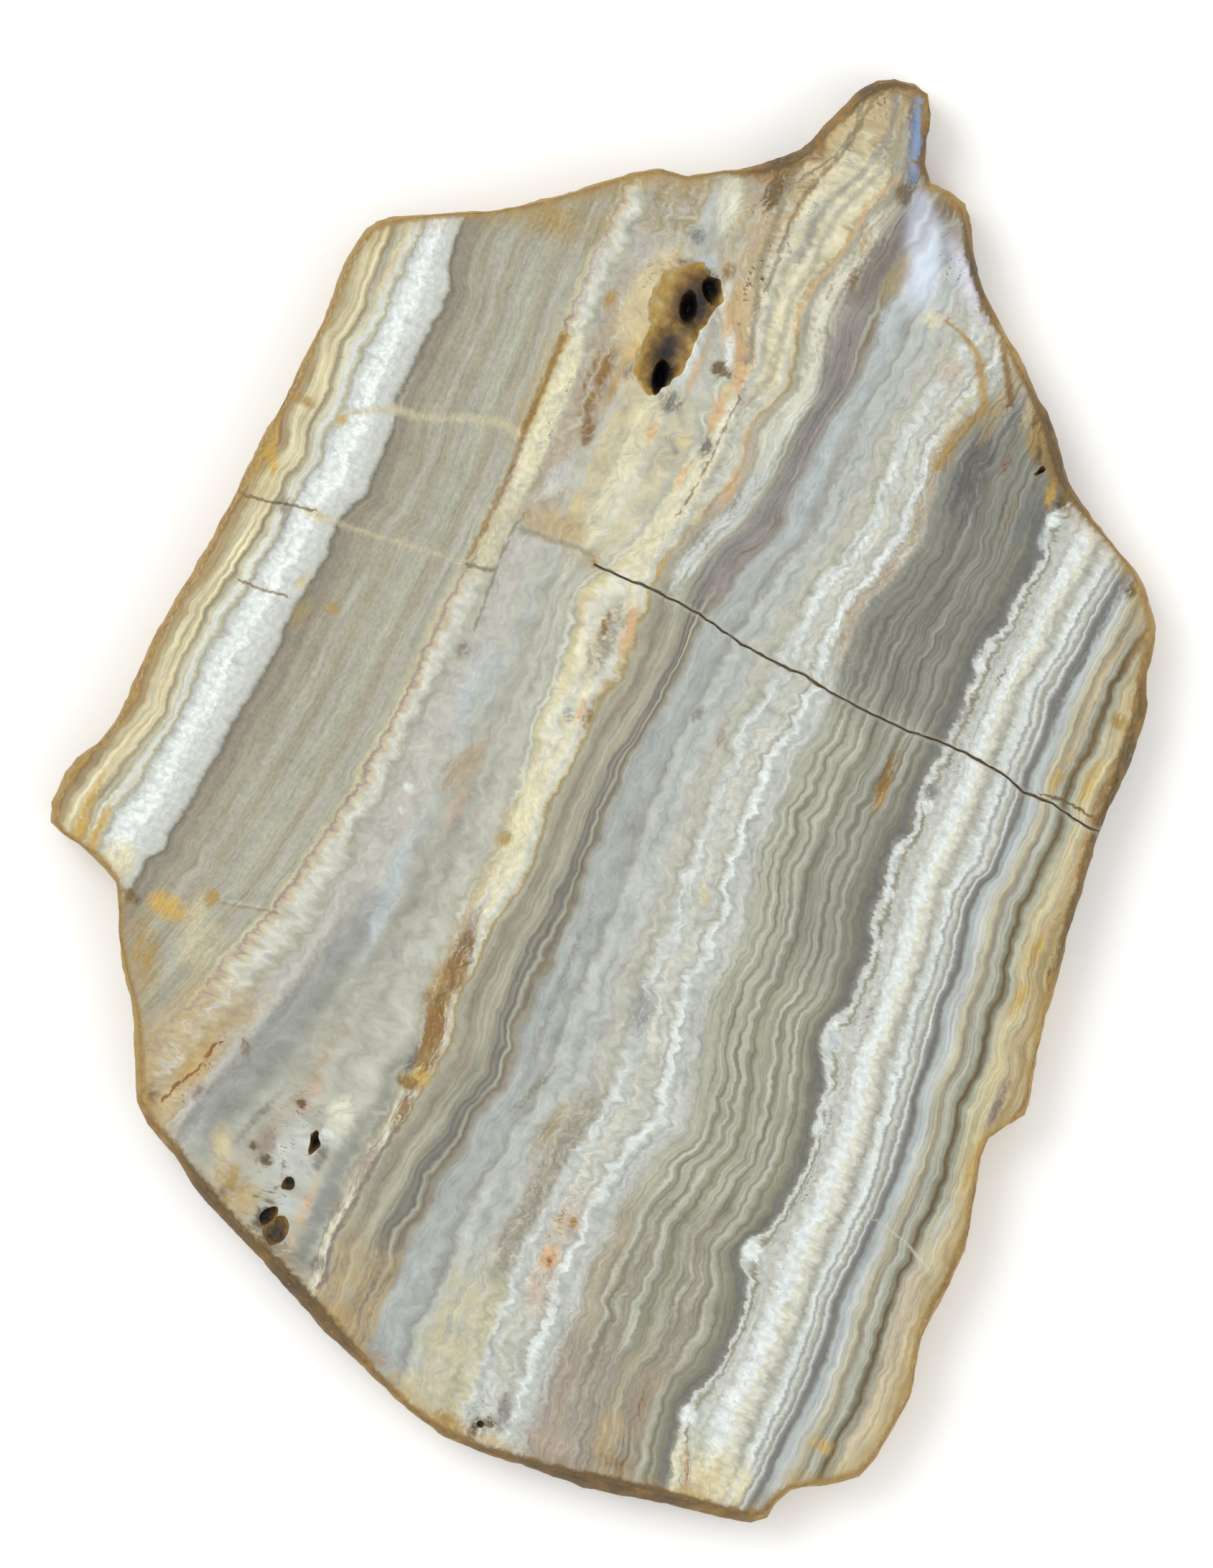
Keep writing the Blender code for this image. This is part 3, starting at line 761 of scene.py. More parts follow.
# %% Patches of colour
STAINS = [
    # The tip.
    (-93, -5, 6, 4.5, -8, "tan", 0.8), (-88, -9, 6, 1.4, 0, "straw", 0.9),
    (-91, -5.8, 5, 1.0, 0, "cream", 0.8), (-82, -8, 5, 1.4, -14, "cream", 0.9),
    (-95, -8.5, 3.0, 1.6, -30, "plum", 0.8), (-96.5, -5, 1.6, 3.2, 0, "walnut", 0.8),
    (-92.5, -3.4, 1.6, 0.8, 0, "coal", 0.9), (-89, -2.6, 2.4, 0.8, 0, "plum", 0.7),
    (-93, -0.2, 8, 1.1, 21, "umber", 1.0), (-87.5, 1.8, 3, 0.8, 20, "umber", 1.0),
    (-84.5, 2.0, 1.6, 1.2, 30, "umber", 0.8), (-85, -10.5, 1.8, 1.2, 0, "walnut", 0.8),
    (-82, -12.5, 3, 1.2, -20, "umber", 0.8), (-79.5, -15.5, 1.4, 3.4, 0, "rust", 0.7),
    (-78, -13, 2.6, 1.1, 0, "umber", 0.9), (-74.5, -17.4, 4.0, 1.5, 16, "ivory", 0.9),
    (-77, -14.9, 3, 0.6, 10, "ash", 0.7), (-71.5, -12.6, 4.5, 1.0, 0, "blush", 0.8),
    (-76, -22, 2, 3, 0, "khaki", 0.6), (-69, -19.4, 1.3, 0.9, 0, "slate", 0.8),
    (-66.6, -17.0, 0.9, 1.1, 0, "ice", 0.9), (-66.6, -14.0, 1.1, 0.8, 0, "ochre_brown", 0.9),
    (-75, 2.6, 6, 1.7, -8, "plum", 0.9), (-62, 2.8, 8, 1.4, 12, "mauve", 0.8),
    (-74.5, 5.2, 3.4, 1.6, -10, "khaki", 0.8), (-72.3, 0.6, 1.6, 0.7, 0, "walnut", 0.7),
    (-69, 7.0, 5, 1.3, 10, "ice", 0.8), (-77, 0.0, 2.2, 0.8, 0, "tan", 0.7),
    (-82, 9.5, 3.5, 1.4, 30, "mauve", 0.7), (-85.5, 8, 1.5, 3, 30, "umber", 0.6),
    (-76, 17.5, 2.6, 1.6, 40, "umber", 0.8), (-72, 11.8, 1.2, 1.2, 0, "cream", 0.8),
    (-66, -4.6, 4, 1.2, 0, "cream", 0.7), (-58, -3.5, 6, 1.4, 6, "cream", 0.6),
    # Round the large hollow.
    (-73, -29, 2.5, 3, 0, "ochre", 0.5), (-63, -37, 2.6, 4, 0, "ochre", 0.5),
    (-56, -29.2, 3.2, 0.6, 0, "silver", 0.6), (-61, -29.4, 3, 0.7, 0, "silver", 0.7),
    (-57, -26, 1.3, 0.8, 0, "ochre", 0.8),
    (-59, -21.8, 6.5, 2.2, 0, "straw", 1.0), (-57, -20.0, 9, 2.4, 0, "gold", 0.7),
    (-56, -23.6, 5, 1.0, 0, "cream", 0.8),
    (-60, -19.6, 4.5, 0.9, 0, "gold", 0.8), (-54, -19.3, 3, 0.8, 0, "ochre", 0.9),
    (-63.6, -20.6, 1.2, 2.0, 20, "ochre", 0.8), (-65.2, -17.5, 0.7, 3.0, 0, "umber", 0.8),
    (-63, -12.9, 3, 0.5, 8, "ivory", 0.8), (-62, -10.8, 4.2, 1.5, 14, "orange", 0.9),
    (-57, -8.0, 4, 1.1, 22, "orange", 0.9), (-50, -7.9, 3.0, 0.7, 0, "orange", 0.8),
    (-57.5, -9.6, 2.6, 0.45, 22, "white", 1.0), (-55, -10.2, 0.9, 0.9, 0, "umber", 1.0),
    (-54.8, -8.8, 0.6, 0.6, 0, "umber", 0.9), (-58.5, -8.3, 2, 0.3, 22, "deep_taupe", 0.8),
    (-53.2, -13.7, 4.5, 0.8, -2, "chalk", 0.8), (-53.5, -12.4, 4, 0.35, 0, "orange", 0.8),
    (-48.7, -13.5, 1.5, 1.5, 20, "lead", 0.8), (-50, -19.6, 1.4, 1.2, 0, "plum", 0.7),
    # Centre left, above the fracture.
    (-47, -22.8, 5.5, 0.9, 0, "ochre_brown", 0.7), (-48, -24.3, 4, 0.5, 0, "walnut", 0.6),
    (-41, -21.5, 2.4, 0.9, 10, "walnut", 0.7), (-47, -20.9, 3, 0.6, 0, "ochre", 0.6),
    (-34, -22.4, 2.6, 1.3, -10, "silver", 0.9), (-38, -20, 4, 2.0, 0, "pale_stone", 0.8),
    (-28.3, -20.5, 2.1, 4.2, 6, "tan", 0.9), (-31, -18.4, 3.4, 1.2, 12, "fawn", 0.7),
    (-45, -15.6, 2.4, 2.0, 10, "cream", 0.9), (-44, -14.2, 1.2, 0.8, 0, "orange", 0.7),
    (-34, -13, 6, 2.6, 0, "ivory", 0.8), (-43, -11.2, 2.4, 1.5, 0, "ash", 0.8),
    (-44.6, -9.9, 1.3, 0.8, 0, "straw", 0.9), (-39.6, -11.2, 1.6, 1.0, 0, "cream", 0.7),
    (-41, -8.5, 2.0, 0.4, 0, "orange", 0.8), (-45.2, -7.2, 1.4, 0.7, 0, "lead", 0.8),
    (-39, -7.2, 2.5, 0.5, 0, "ivory", 0.8), (-48, -3.3, 1.6, 0.5, 0, "orange", 0.7),
    (-42, -2.3, 3.6, 0.6, 0, "orange", 0.7), (-37, -4.6, 2.5, 0.5, 0, "straw", 0.6),
    (-29.5, -6.0, 2, 0.4, 0, "gold", 0.6),
    # The top right.
    (-67, 16.5, 2.0, 1.6, 30, "blush", 0.7), (-62, 19.6, 6, 0.9, -10, "linen", 0.6),
    (-64, 23.8, 4, 0.9, 0, "tan", 0.8), (-65.5, 26.2, 3.5, 0.7, 0, "slate", 0.8),
    (-69.6, 26.8, 1.0, 1.0, 0, "linen", 0.7), (-66.4, 27.6, 2.2, 0.5, 0, "straw", 1.0),
    (-63.5, 30, 3.0, 1.4, 35, "ochre", 0.8), (-65.6, 29, 1.8, 0.6, 30, "bark", 0.8),
    (-62, 31, 2.4, 0.4, 25, "umber", 0.8), (-61.5, 33.5, 2.6, 1.2, 40, "ochre_brown", 0.8),
    (-58.2, 34.4, 2.0, 0.6, 10, "gold", 0.9), (-58, 36.3, 1.2, 0.8, 0, "bark", 0.9),
    (-59.2, 27.8, 1.6, 0.5, 0, "rust", 0.6), (-53, 30.8, 3.5, 0.4, 0, "khaki", 0.7),
    (-57, 24, 6, 1.6, 0, "lead", 0.8), (-55, 26, 8, 0.7, 0, "lead", 0.7),
    (-54, 32.8, 3.2, 0.8, 0, "slate", 0.8),
    # The right rim.
    (-30, 56.8, 9, 1.2, 0, "walnut", 0.8), (-22, 57.4, 5, 0.9, 0, "rust", 0.6),
    (-36, 54.6, 1.0, 1.6, 0, "ochre", 0.8), (-28, 54.2, 3, 0.8, 0, "gold", 0.7),
    (-45, 54.4, 5, 0.7, 0, "ochre", 0.8), (-27, 50.3, 3, 0.8, 0, "gold", 0.6),
    (-15, 59.2, 5, 0.6, 5, "rust", 0.8), (-8, 60.0, 2.2, 0.6, 0, "bark", 0.9),
    (-3.4, 60.0, 1.6, 0.5, 20, "bark", 0.9), (-5.5, 56.8, 3.2, 0.9, 0, "gold", 0.6),
    (0.5, 57.6, 3.0, 1.0, 0, "gold", 0.6), (-52, 48.6, 1.6, 1.0, 0, "bark", 0.8),
    (14, 60.8, 3.5, 0.6, 0, "plum", 0.8), (22, 61.2, 5, 0.7, 0, "gold", 0.7),
    (9, 58.6, 4, 0.7, 0, "straw", 0.7), (30, 60.6, 6, 0.8, 0, "pale_stone", 0.7),
    # Knobs of chalk on the dark band.
    (-55.4, 36.3, 1.0, 0.9, 0, "white", 1), (-52.6, 36.2, 1.2, 0.9, 0, "ice", 0.9),
    (-37, 35.2, 1.4, 0.5, -20, "silver", 1), (-35.2, 35.2, 0.8, 0.7, 0, "white", 1),
    (-29, 36.0, 2.2, 0.5, 0, "mauve", 0.8), (-18.3, 36.6, 1.0, 1.0, 0, "slate", 0.9),
    (-16.3, 36.9, 1.0, 0.6, 0, "white", 0.9), (-10, 36.0, 0.9, 0.7, 0, "chalk", 0.9),
    (-8, 36.4, 1.3, 0.6, 0, "ice", 0.7), (-4.2, 37.0, 1.0, 0.6, 0, "white", 1),
    (2, 38.8, 0.9, 0.5, 0, "chalk", 1), (15.2, 38.3, 1.9, 1.2, 0, "chalk", 1),
    (15.6, 38.8, 1.1, 0.7, 0, "ice", 0.9), (13.6, 38.0, 0.9, 0.6, 0, "white", 0.9),
    (22.5, 41.2, 1.3, 0.6, 0, "chalk", 1), (26, 41.6, 1.3, 0.7, 0, "white", 0.9),
    (43.6, 40.6, 1.4, 1.1, 20, "white", 1), (65.6, 42.0, 1.2, 1.0, 20, "white", 1),
    # The middle.
    (-18.5, -8.4, 5.5, 1.7, 0, "taupe", 0.6), (-19.8, -9.3, 2.0, 0.4, 6, "walnut", 0.9),
    (-20.5, -6.4, 3.4, 0.8, 8, "orange", 0.9), (-8.5, -6.4, 2.6, 0.6, 0, "ochre_brown", 0.6),
    (-8.5, -7.4, 2.0, 0.5, 0, "orange", 0.7), (-7.5, -8.6, 1.0, 0.8, 0, "slate", 0.7),
    (-13.5, -5.6, 3.0, 0.4, 0, "ochre", 0.6), (-13, -10.6, 7, 1.0, -6, "cream", 0.7),
    (9.7, -9.3, 1.0, 0.7, 0, "ochre", 1.0), (7, -8.4, 9, 1.5, 4, "cream", 0.8),
    (-14.5, 5.8, 1.4, 0.6, -20, "mauve", 0.8), (-13, 9.8, 1.4, 0.5, 10, "rose", 0.7),
    (3, 5.0, 5, 1.6, 20, "ash", 0.5), (8, 9, 3, 1.5, 30, "silver", 0.6),
    (-17.5, 30.7, 4.4, 0.7, 0, "ochre_brown", 0.8), (-15, 31.2, 3.0, 0.5, 0, "gold", 0.7),
    (4, -18, 4, 1.6, -20, "fawn", 0.8), (8.5, -16.4, 3, 0.9, 0, "blush", 0.8),
    (9.0, -23.0, 0.6, 0.6, 0, "white", 0.8), (12.0, -22.6, 0.5, 0.6, 0, "chalk", 0.8),
    (22, -19.6, 9, 1.2, 4, "ice", 0.7), (-6, -21, 6, 1.6, 0, "ice", 0.6),
    (27.5, -14.2, 4.5, 0.7, 6, "pale_stone", 0.9), (27.2, -12.0, 1.2, 0.7, 0, "silver", 0.8),
    (-9.5, -24.2, 1.2, 0.9, 0, "plum", 0.6), (21.5, 15, 3.5, 1.8, 20, "ash", 0.8),
    (5.6, 16.2, 1.6, 0.5, 30, "straw", 0.9), (40, 11.4, 5.5, 1.6, -12, "khaki", 0.5),
    (37, 7.2, 4, 0.6, -20, "olive_grey", 0.7),
    # The long brown streak.
    (21.5, -8.6, 2.6, 0.9, 0, "rose", 0.8), (24.2, -8.2, 2.6, 1.2, 0, "walnut", 0.8),
    (28.0, -8.1, 2.8, 1.7, 0, "ochre_brown", 1.0), (31.5, -8.4, 2.8, 1.6, 0, "ochre_brown", 1.0),
    (34.6, -7.4, 2.8, 1.6, 14, "amber", 0.8), (38, -6.8, 2.8, 1.4, 6, "ochre_brown", 1.0),
    (41.4, -6.6, 1.8, 1.6, 0, "gold", 0.8), (42.6, -7.2, 0.8, 1.6, 0, "ochre_brown", 1.0),
    (46, -6.6, 2.8, 0.8, 0, "walnut", 0.9), (40.5, -8.0, 1.8, 0.6, 0, "lead", 0.8),
    (54, -8.0, 4.5, 0.7, -4, "rose", 0.9), (60.5, -9.0, 1.6, 0.9, 0, "rose", 0.8),
    (68, -8.0, 1.2, 1.0, 0, "plum", 0.7),
    # The foot of the slice, left to right.
    (35.4, -44, 1.6, 2.6, 0, "gold", 0.9), (34.6, -40.6, 2.4, 1.2, 0, "straw", 0.7),
    (32, -39.5, 1.2, 1.0, 0, "ochre", 0.9), (36.2, -49, 0.8, 1.4, 0, "umber", 0.9),
    (42, -44, 5, 2.0, 30, "ochre", 0.6), (52, -32.6, 4.0, 1.6, -12, "gold", 0.9),
    (50.5, -31.6, 2.4, 0.3, -10, "amber", 0.9), (57.5, -33.6, 3.0, 1.6, -10, "straw", 0.8),
    (54.5, -31.0, 1.4, 0.7, 0, "plum", 0.6), (47, -28.0, 1.6, 0.6, 30, "walnut", 0.6),
    (58, -36, 2, 1.2, 0, "umber", 0.6), (60.5, -25, 3.5, 1.4, 20, "straw", 0.7),
    (64, -22, 3.0, 2.6, 20, "ochre", 0.7), (64.5, -19.4, 2.2, 1.6, 0, "tan", 0.8),
    (69, -13, 2.4, 3.0, 40, "olive_grey", 0.7), (73.5, -4, 1.4, 3.4, 25, "ochre", 0.8),
    (76, 3, 1.4, 2.6, 20, "rose", 0.7), (68, -4.5, 5, 2.2, 0, "tan", 0.6),
    (57, -16.5, 5, 2.6, 0, "silver", 0.7), (48, -17.6, 1.4, 1.0, 0, "blush", 0.9),
    (50.8, -18.4, 1.4, 1.3, 0, "blush", 0.8), (50.6, -18.4, 0.7, 0.6, 0, "umber", 1.0),
    (56.8, -20.0, 1.6, 1.6, 0, "rose", 0.8), (56.8, -20.0, 0.8, 0.7, 20, "bark", 1.0),
    (59, -19.4, 0.7, 0.8, 0, "umber", 1.0), (58, -21.6, 0.6, 0.6, 0, "umber", 0.8),
    (50, -13.4, 2.6, 1.6, 0, "ivory", 0.9), (52.6, -13.8, 0.6, 0.9, 0, "white", 1.0),
    (56, -13.6, 2.0, 0.9, 0, "lead", 0.8), (60, -10.6, 10, 1.0, 2, "ash", 0.9),
    (63, -12.4, 5, 0.4, 2, "orange", 0.8), (63, -14.6, 1.0, 0.8, 0, "ice", 0.7),
    (60.4, -15.6, 1.0, 0.9, 0, "coal", 0.8), (65.2, -16.8, 2.0, 1.1, 0, "coal", 1.0),
    (67.4, -14.6, 2.2, 1.2, 0, "bark", 1.0), (66.2, -14.6, 1.2, 0.5, 0, "rust", 0.9),
    (65, -22.8, 0.8, 0.6, 0, "plum", 0.7), (55, -22.8, 4.5, 0.5, -18, "olive_grey", 0.7),
    (50, 18.4, 1.4, 1.8, 0, "blush", 0.8), (49.8, 18.8, 0.8, 0.5, 0, "ochre", 0.9),
    (50.4, 17.0, 0.7, 0.6, 0, "ochre", 0.8), (55, 17.9, 1.6, 0.9, 0, "orange", 0.9),
    (55.4, 18.2, 0.9, 0.4, 0, "rust", 0.7), (59, 18, 3, 0.7, 24, "blush", 0.7),
    (72, 47.8, 3.4, 2.0, 0, "straw", 0.8), (74.6, 47, 1.2, 2.6, 0, "gold", 0.7),
    (70.5, 51.8, 2.8, 0.9, 0, "cream", 0.8), (72, 44.8, 3.0, 0.4, 24, "rust", 0.7),
    (66, 36.0, 5, 0.5, 4, "rust", 0.6), (72, 34, 3.4, 2.6, 0, "tan", 0.5),
    (74.6, 36, 1.6, 2.4, 0, "ochre_brown", 0.5), (76, 28, 1.6, 4.0, 0, "blush", 0.7),
    (68, 26.5, 5, 0.7, 0, "rose", 0.7), (75, 21, 2.4, 0.8, 20, "mauve", 0.9),
    (78.8, 18.4, 1.8, 0.5, 0, "bark", 0.9), (77, 19.8, 0.8, 1.2, 0, "umber", 0.8),
    (79, 21.5, 1.0, 2.0, 0, "straw", 0.8), (73, 18.0, 2.6, 0.8, 20, "chalk", 0.8),
    (62, 59, 1.2, 1.8, 0, "gold", 0.5), (72, 56.4, 1.4, 0.7, 0, "amber", 0.9),
    (70, 9.5, 4, 2.4, 0, "linen", 0.6), (77, 9, 2, 3.0, 0, "straw", 0.6),
    (79, 15, 1.2, 3.0, 0, "ochre", 0.7),
    # The left of the slice.
    (-22, -56.4, 3.6, 0.7, 28, "gold", 1.0), (-20.5, -57.6, 4, 0.5, 16, "gold", 0.8),
    (-17, -55.6, 2.2, 2.0, 0, "straw", 0.7), (-22.5, -53.4, 1.6, 0.8, 0, "cream", 0.8),
    (-16.5, -52.2, 1.2, 1.2, 0, "taupe", 0.8), (-15.0, -51.4, 1.4, 0.6, 0, "mauve", 0.6),
    (-29.4, -56, 0.7, 2.4, 0, "ochre", 0.8), (-29.2, -50.0, 0.9, 0.8, 0, "gold", 0.6),
    (-17, -48, 0.8, 2.0, 0, "straw", 0.8), (28.5, -58.4, 5.0, 0.5, 0, "gold", 1.0),
    (31, -57.6, 3.0, 0.4, 0, "gold", 0.7), (30.4, -56.0, 4.0, 0.5, 0, "gold", 1.0),
    (32.4, -55.6, 1.8, 0.5, 0, "gold", 0.8), (32.4, -52.0, 2.2, 2.0, 0, "cream", 0.9),
    (-7.2, -41.4, 0.8, 1.2, 0, "ochre", 0.6), (-5, -44.2, 2.4, 1.5, 0, "khaki", 0.6),
    (-8.6, -45.9, 1.6, 0.7, 0, "straw", 0.7), (38, -38, 3, 3.6, 20, "linen", 0.7),
    (-58, -52, 1.5, 5.0, 30, "gold", 0.8), (-50, -52.6, 6, 0.5, 0, "straw", 0.8),
    (-30, -44.5, 8, 0.5, 0, "silver", 0.5),
]
print(len(STAINS), "patches")


# %% Stretches of a band
LENSES = [
    # Stretches of a band that took another colour: start and end along the slice, left and right
    # edge across it (read halfway down the stretch), colour, strength.
    (-99, -56, -13.0, -8.6, "tan", 0.40), (-99, -50, -8.6, -5.2, "linen", 0.38),
    (-99, -60, -5.0, -1.8, "cream", 0.46), (-82, -46, -1.9, 0.9, "ivory", 0.50),
    (-82, -56, 1.0, 4.4, "mauve", 0.48), (-62, -27, 2.0, 5.4, "mauve", 0.46),
    (-62, -28, 3.0, 3.9, "slate", 0.44), (-60, -26, -0.9, 1.4, "chalk", 0.48),
    (-62, -36, 5.9, 7.6, "ice", 0.42), (-58, -30, 8.4, 9.8, "ash", 0.42),
    (-56, -28, -5.6, -3.2, "pale_stone", 0.44), (-54, -30, -3.1, -1.7, "blush", 0.40),
    (-52, -27, -19.8, -16.8, "straw", 0.44), (-50, -25, -17.0, -13.8, "cream", 0.48),
    (-50, -26, -13.4, -9.8, "linen", 0.40), (-44, -26, -9.8, -6.0, "cream", 0.42),
    (-62, -28, -25.4, -20.4, "fawn", 0.44), (-51, -30, -28.4, -25.4, "cream", 0.60),
    (-30, -18, -28.2, -25.0, "linen", 0.44), (-52, -35, -30.9, -29.8, "tan", 0.42),
    (-62, -27, 19.8, 22.0, "fawn", 0.42),
    (-56, -26, 15.2, 16.0, "white", 0.46),
    (-56, -26, 18.3, 19.2, "white", 0.46), (-56, -30, 46.4, 47.4, "lead", 0.44),
    (-52, -26, 49.4, 50.6, "tan", 0.42), (-50, -26, 51.4, 52.2, "walnut", 0.42),
    (4, 34, -10.6, -9.2, "tan", 0.36),
    (10, 40, 4.2, 5.4, "mauve", 0.36), (36, 62, -28.6, -26.6, "ash", 0.40),
    (40, 64, -41.0, -30.4, "tan", 0.40), (42, 60, -34.0, -32.0, "ochre", 0.38),
    (38, 60, -19.6, -17.8, "fawn", 0.38), (34, 60, 11.6, 14.6, "taupe", 0.44),
    (46, 62, 16.2, 19.4, "blush", 0.36),
    (40, 76, 28.0, 30.0, "taupe", 0.36), (40, 76, 34.2, 38.6, "taupe", 0.36),
    (44, 78, 24.0, 27.4, "fawn", 0.30), (34, 64, 60.4, 63.4, "blush", 0.30),
    (60, 84, 24.0, 33.0, "rose", 0.36), (60, 84, 33.0, 39.0, "fawn", 0.40),
    (68, 84, 43.5, 51.0, "cream", 0.42), (62, 84, -6.0, 2.0, "tan", 0.38),
    (60, 84, 8.0, 16.0, "linen", 0.40), (-84, -66, -27.0, -20.0, "khaki", 0.40),
    (-80, -66, -16.4, -13.0, "tan", 0.36), (-74, -60, -44.0, -30.0, "khaki", 0.32),
]
SHADES = [
    # Stretches that are darker with their layers still showing: start and end along, left and
    # right edge across, depth of the shade.
    (-66, -24, 22.0, 33.6, 1.0), (-60, -27, 22.4, 26.4, 1.25), (-70, -24, 33.6, 36.0, 0.9),
    (-30, 10, 26.0, 34.6, 0.45), (-12, 30, 36.6, 37.6, 0.5), (24, 60, -26.4, -21.6, 0.75),
    (38, 72, -11.4, -8.6, 0.75), (4, 34, -17.4, -14.2, 0.4), (-84, -50, 0.6, 3.8, 0.35),
    (40, 60, -2.0, 0.6, 0.4),
]
print(len(LENSES), "stretches of another colour,", len(SHADES), "of shade")


# %% How deep a point lies in a patch or a stretch
SOFT_EDGE = 1.5
LENS_SIDE = 0.7
LENS_END = 7.0


def oval(patch):
    """How deep in the patch each point lies: 1 at its centre, 0 at its edge and beyond."""
    centre_along, centre_across, half_along, half_across, turn = patch[:5]
    turn = math.radians(turn)
    down = along - centre_along
    over = across - centre_across
    length = (down * math.cos(turn) + over * math.sin(turn)) / (half_along * SOFT_EDGE)
    width = (over * math.cos(turn) - down * math.sin(turn)) / (half_across * SOFT_EDGE)
    return np.clip(1 - np.hypot(length, width), 0, 1)


def lens(stretch):
    """How deep in the stretch of a band each point lies: 1 inside it, fading over its edges."""
    start, end, left, right = stretch[:4]
    middle = np.full(2, (start + end) / 2)
    first, last = band_number(np.array([left, right]), middle)
    sides = np.clip(0.5 + np.minimum(band - first, last - band) / LENS_SIDE, 0, 1)
    ends = np.clip(0.5 + np.minimum(along - start, end - along) / LENS_END, 0, 1)
    return sides * ends


print("points inside the first patch:", int((oval(STAINS[0]) > 0).sum()))


# %% Patches and stretches as numbers on the points
STAIN_COLOURS = sorted({mark[5] for mark in STAINS} | {stretch[4] for stretch in LENSES})
stain_hills = {}
for colour in STAIN_COLOURS:
    places = [oval(patch) * patch[6] for patch in STAINS if patch[5] == colour]
    places += [lens(stretch) * stretch[5] for stretch in LENSES if stretch[4] == colour]
    stain_hills["stain_" + colour] = np.max(places, axis=0)
keep_packed("stains", stain_hills)
keep("shade", np.max([lens(stretch) * stretch[4] for stretch in SHADES], axis=0))
SPECKS = [
    # ovals as in the stains, with the density of their specks
    (-80, -12.5, 6, 2.4, -10, 1.0), (-68, -10.3, 5, 1.8, 0, 0.9), (-92, -7, 8, 3.5, 0, 0.7),
    (-58, -9.5, 5, 2.0, 10, 0.8), (-41, -26.1, 6.5, 0.5, 3, 1.3), (-79, 11.5, 5, 1.6, 35, 1.0),
    (-76, -8.2, 7, 0.9, 0, 0.9), (-50, -6.2, 7, 0.6, 0, 0.7), (-46, 20, 12, 1.6, 0, 0.4),
    (-62, -22, 5, 3, 0, 0.4), (-68, 24, 6, 4, 0, 0.5), (56, -18, 7, 3.4, 0, 0.6),
    (66, -16, 5, 4, 0, 0.9), (52, 17.8, 6, 1.4, 0, 0.8), (27, 43.0, 36, 0.7, 6, 0.6),
    (-14, 58.6, 12, 1.6, 4, 0.8), (76, 20, 4, 3, 0, 0.7), (-90, -1, 6, 2, 0, 0.5),
    (0, 45.4, 30, 0.9, 6, 0.4), (53, -31.6, 5, 0.9, -10, 0.9), (-34, 38, 18, 1.6, 0, 0.5),
    (24, -8, 6, 2.4, 0, 0.5),
]
keep("specks", np.max([oval(patch) * patch[5] for patch in SPECKS], axis=0))
print(len(STAIN_COLOURS), "colours of stain,", len(SPECKS), "patches of specks")


# %% [markdown]
# Hairlines and veins
#
# Old cracks that healed with a paler or darker mineral cross the bands, and thin veins run down
# them. Each has a colour, a half width in mm, a strength and a list of (along, across) places. A
# point keeps its signed offset from the line: how far along the slice it stands from a hairline,
# how far across from a vein. Beyond a line's ends the offset grows fast, so the line runs out in
# a point.

# %% Hairlines across the bands
HAIRLINES = {
    "tie": ("linen", 0.65, 0.7, [(-30, -50), (-32, -47), (-33.3, -44.5), (-33.5, -42),
                                 (-34.5, -39), (-36, -36), (-37.3, -32), (-37, -29)]),
    "scar_left": ("umber", 0.22, 0.8, [(-15.2, -59), (-16, -54), (-17, -50.5), (-17.3, -48)]),
    "scar": ("linen", 0.4, 0.5, [(-17.1, -48), (-17.3, -45), (-17.5, -42), (-18.2, -38),
                                 (-18.5, -35), (-19, -32), (-19.3, -28.5)]),
    "scar_right": ("drab", 0.32, 0.95, [(-19.3, -28.6), (-19.7, -26.5), (-20, -24.6)]),
    "slip": ("walnut", 0.2, 0.8, [(-5.5, -53.6), (-5.7, -50), (-6.3, -46.5)]),
    "left_foot": ("pale_stone", 0.22, 0.6, [(31.6, -38), (30.4, -33), (29.6, -30),
                                            (28.3, -27), (27, -25)]),
    "left_foot_dark": ("khaki", 0.2, 0.7, [(32.2, -38.4), (31.0, -34), (30.2, -31)]),
    "right_foot": ("pearl", 0.2, 0.6, [(33.3, 52.5), (33.8, 55), (34.6, 58), (36.4, 62)]),
    "fracture_start": ("olive_grey", 0.4, 0.6, [(-26.2, -24.6), (-26.6, -20), (-27.2, -16.5),
                                                (-26.9, -14)]),
    "fracture_fork": ("umber", 0.2, 0.9, [(-23.6, 49), (-24.2, 52), (-23.9, 55), (-23.5, 58)]),
}
print(len(HAIRLINES), "hairlines")


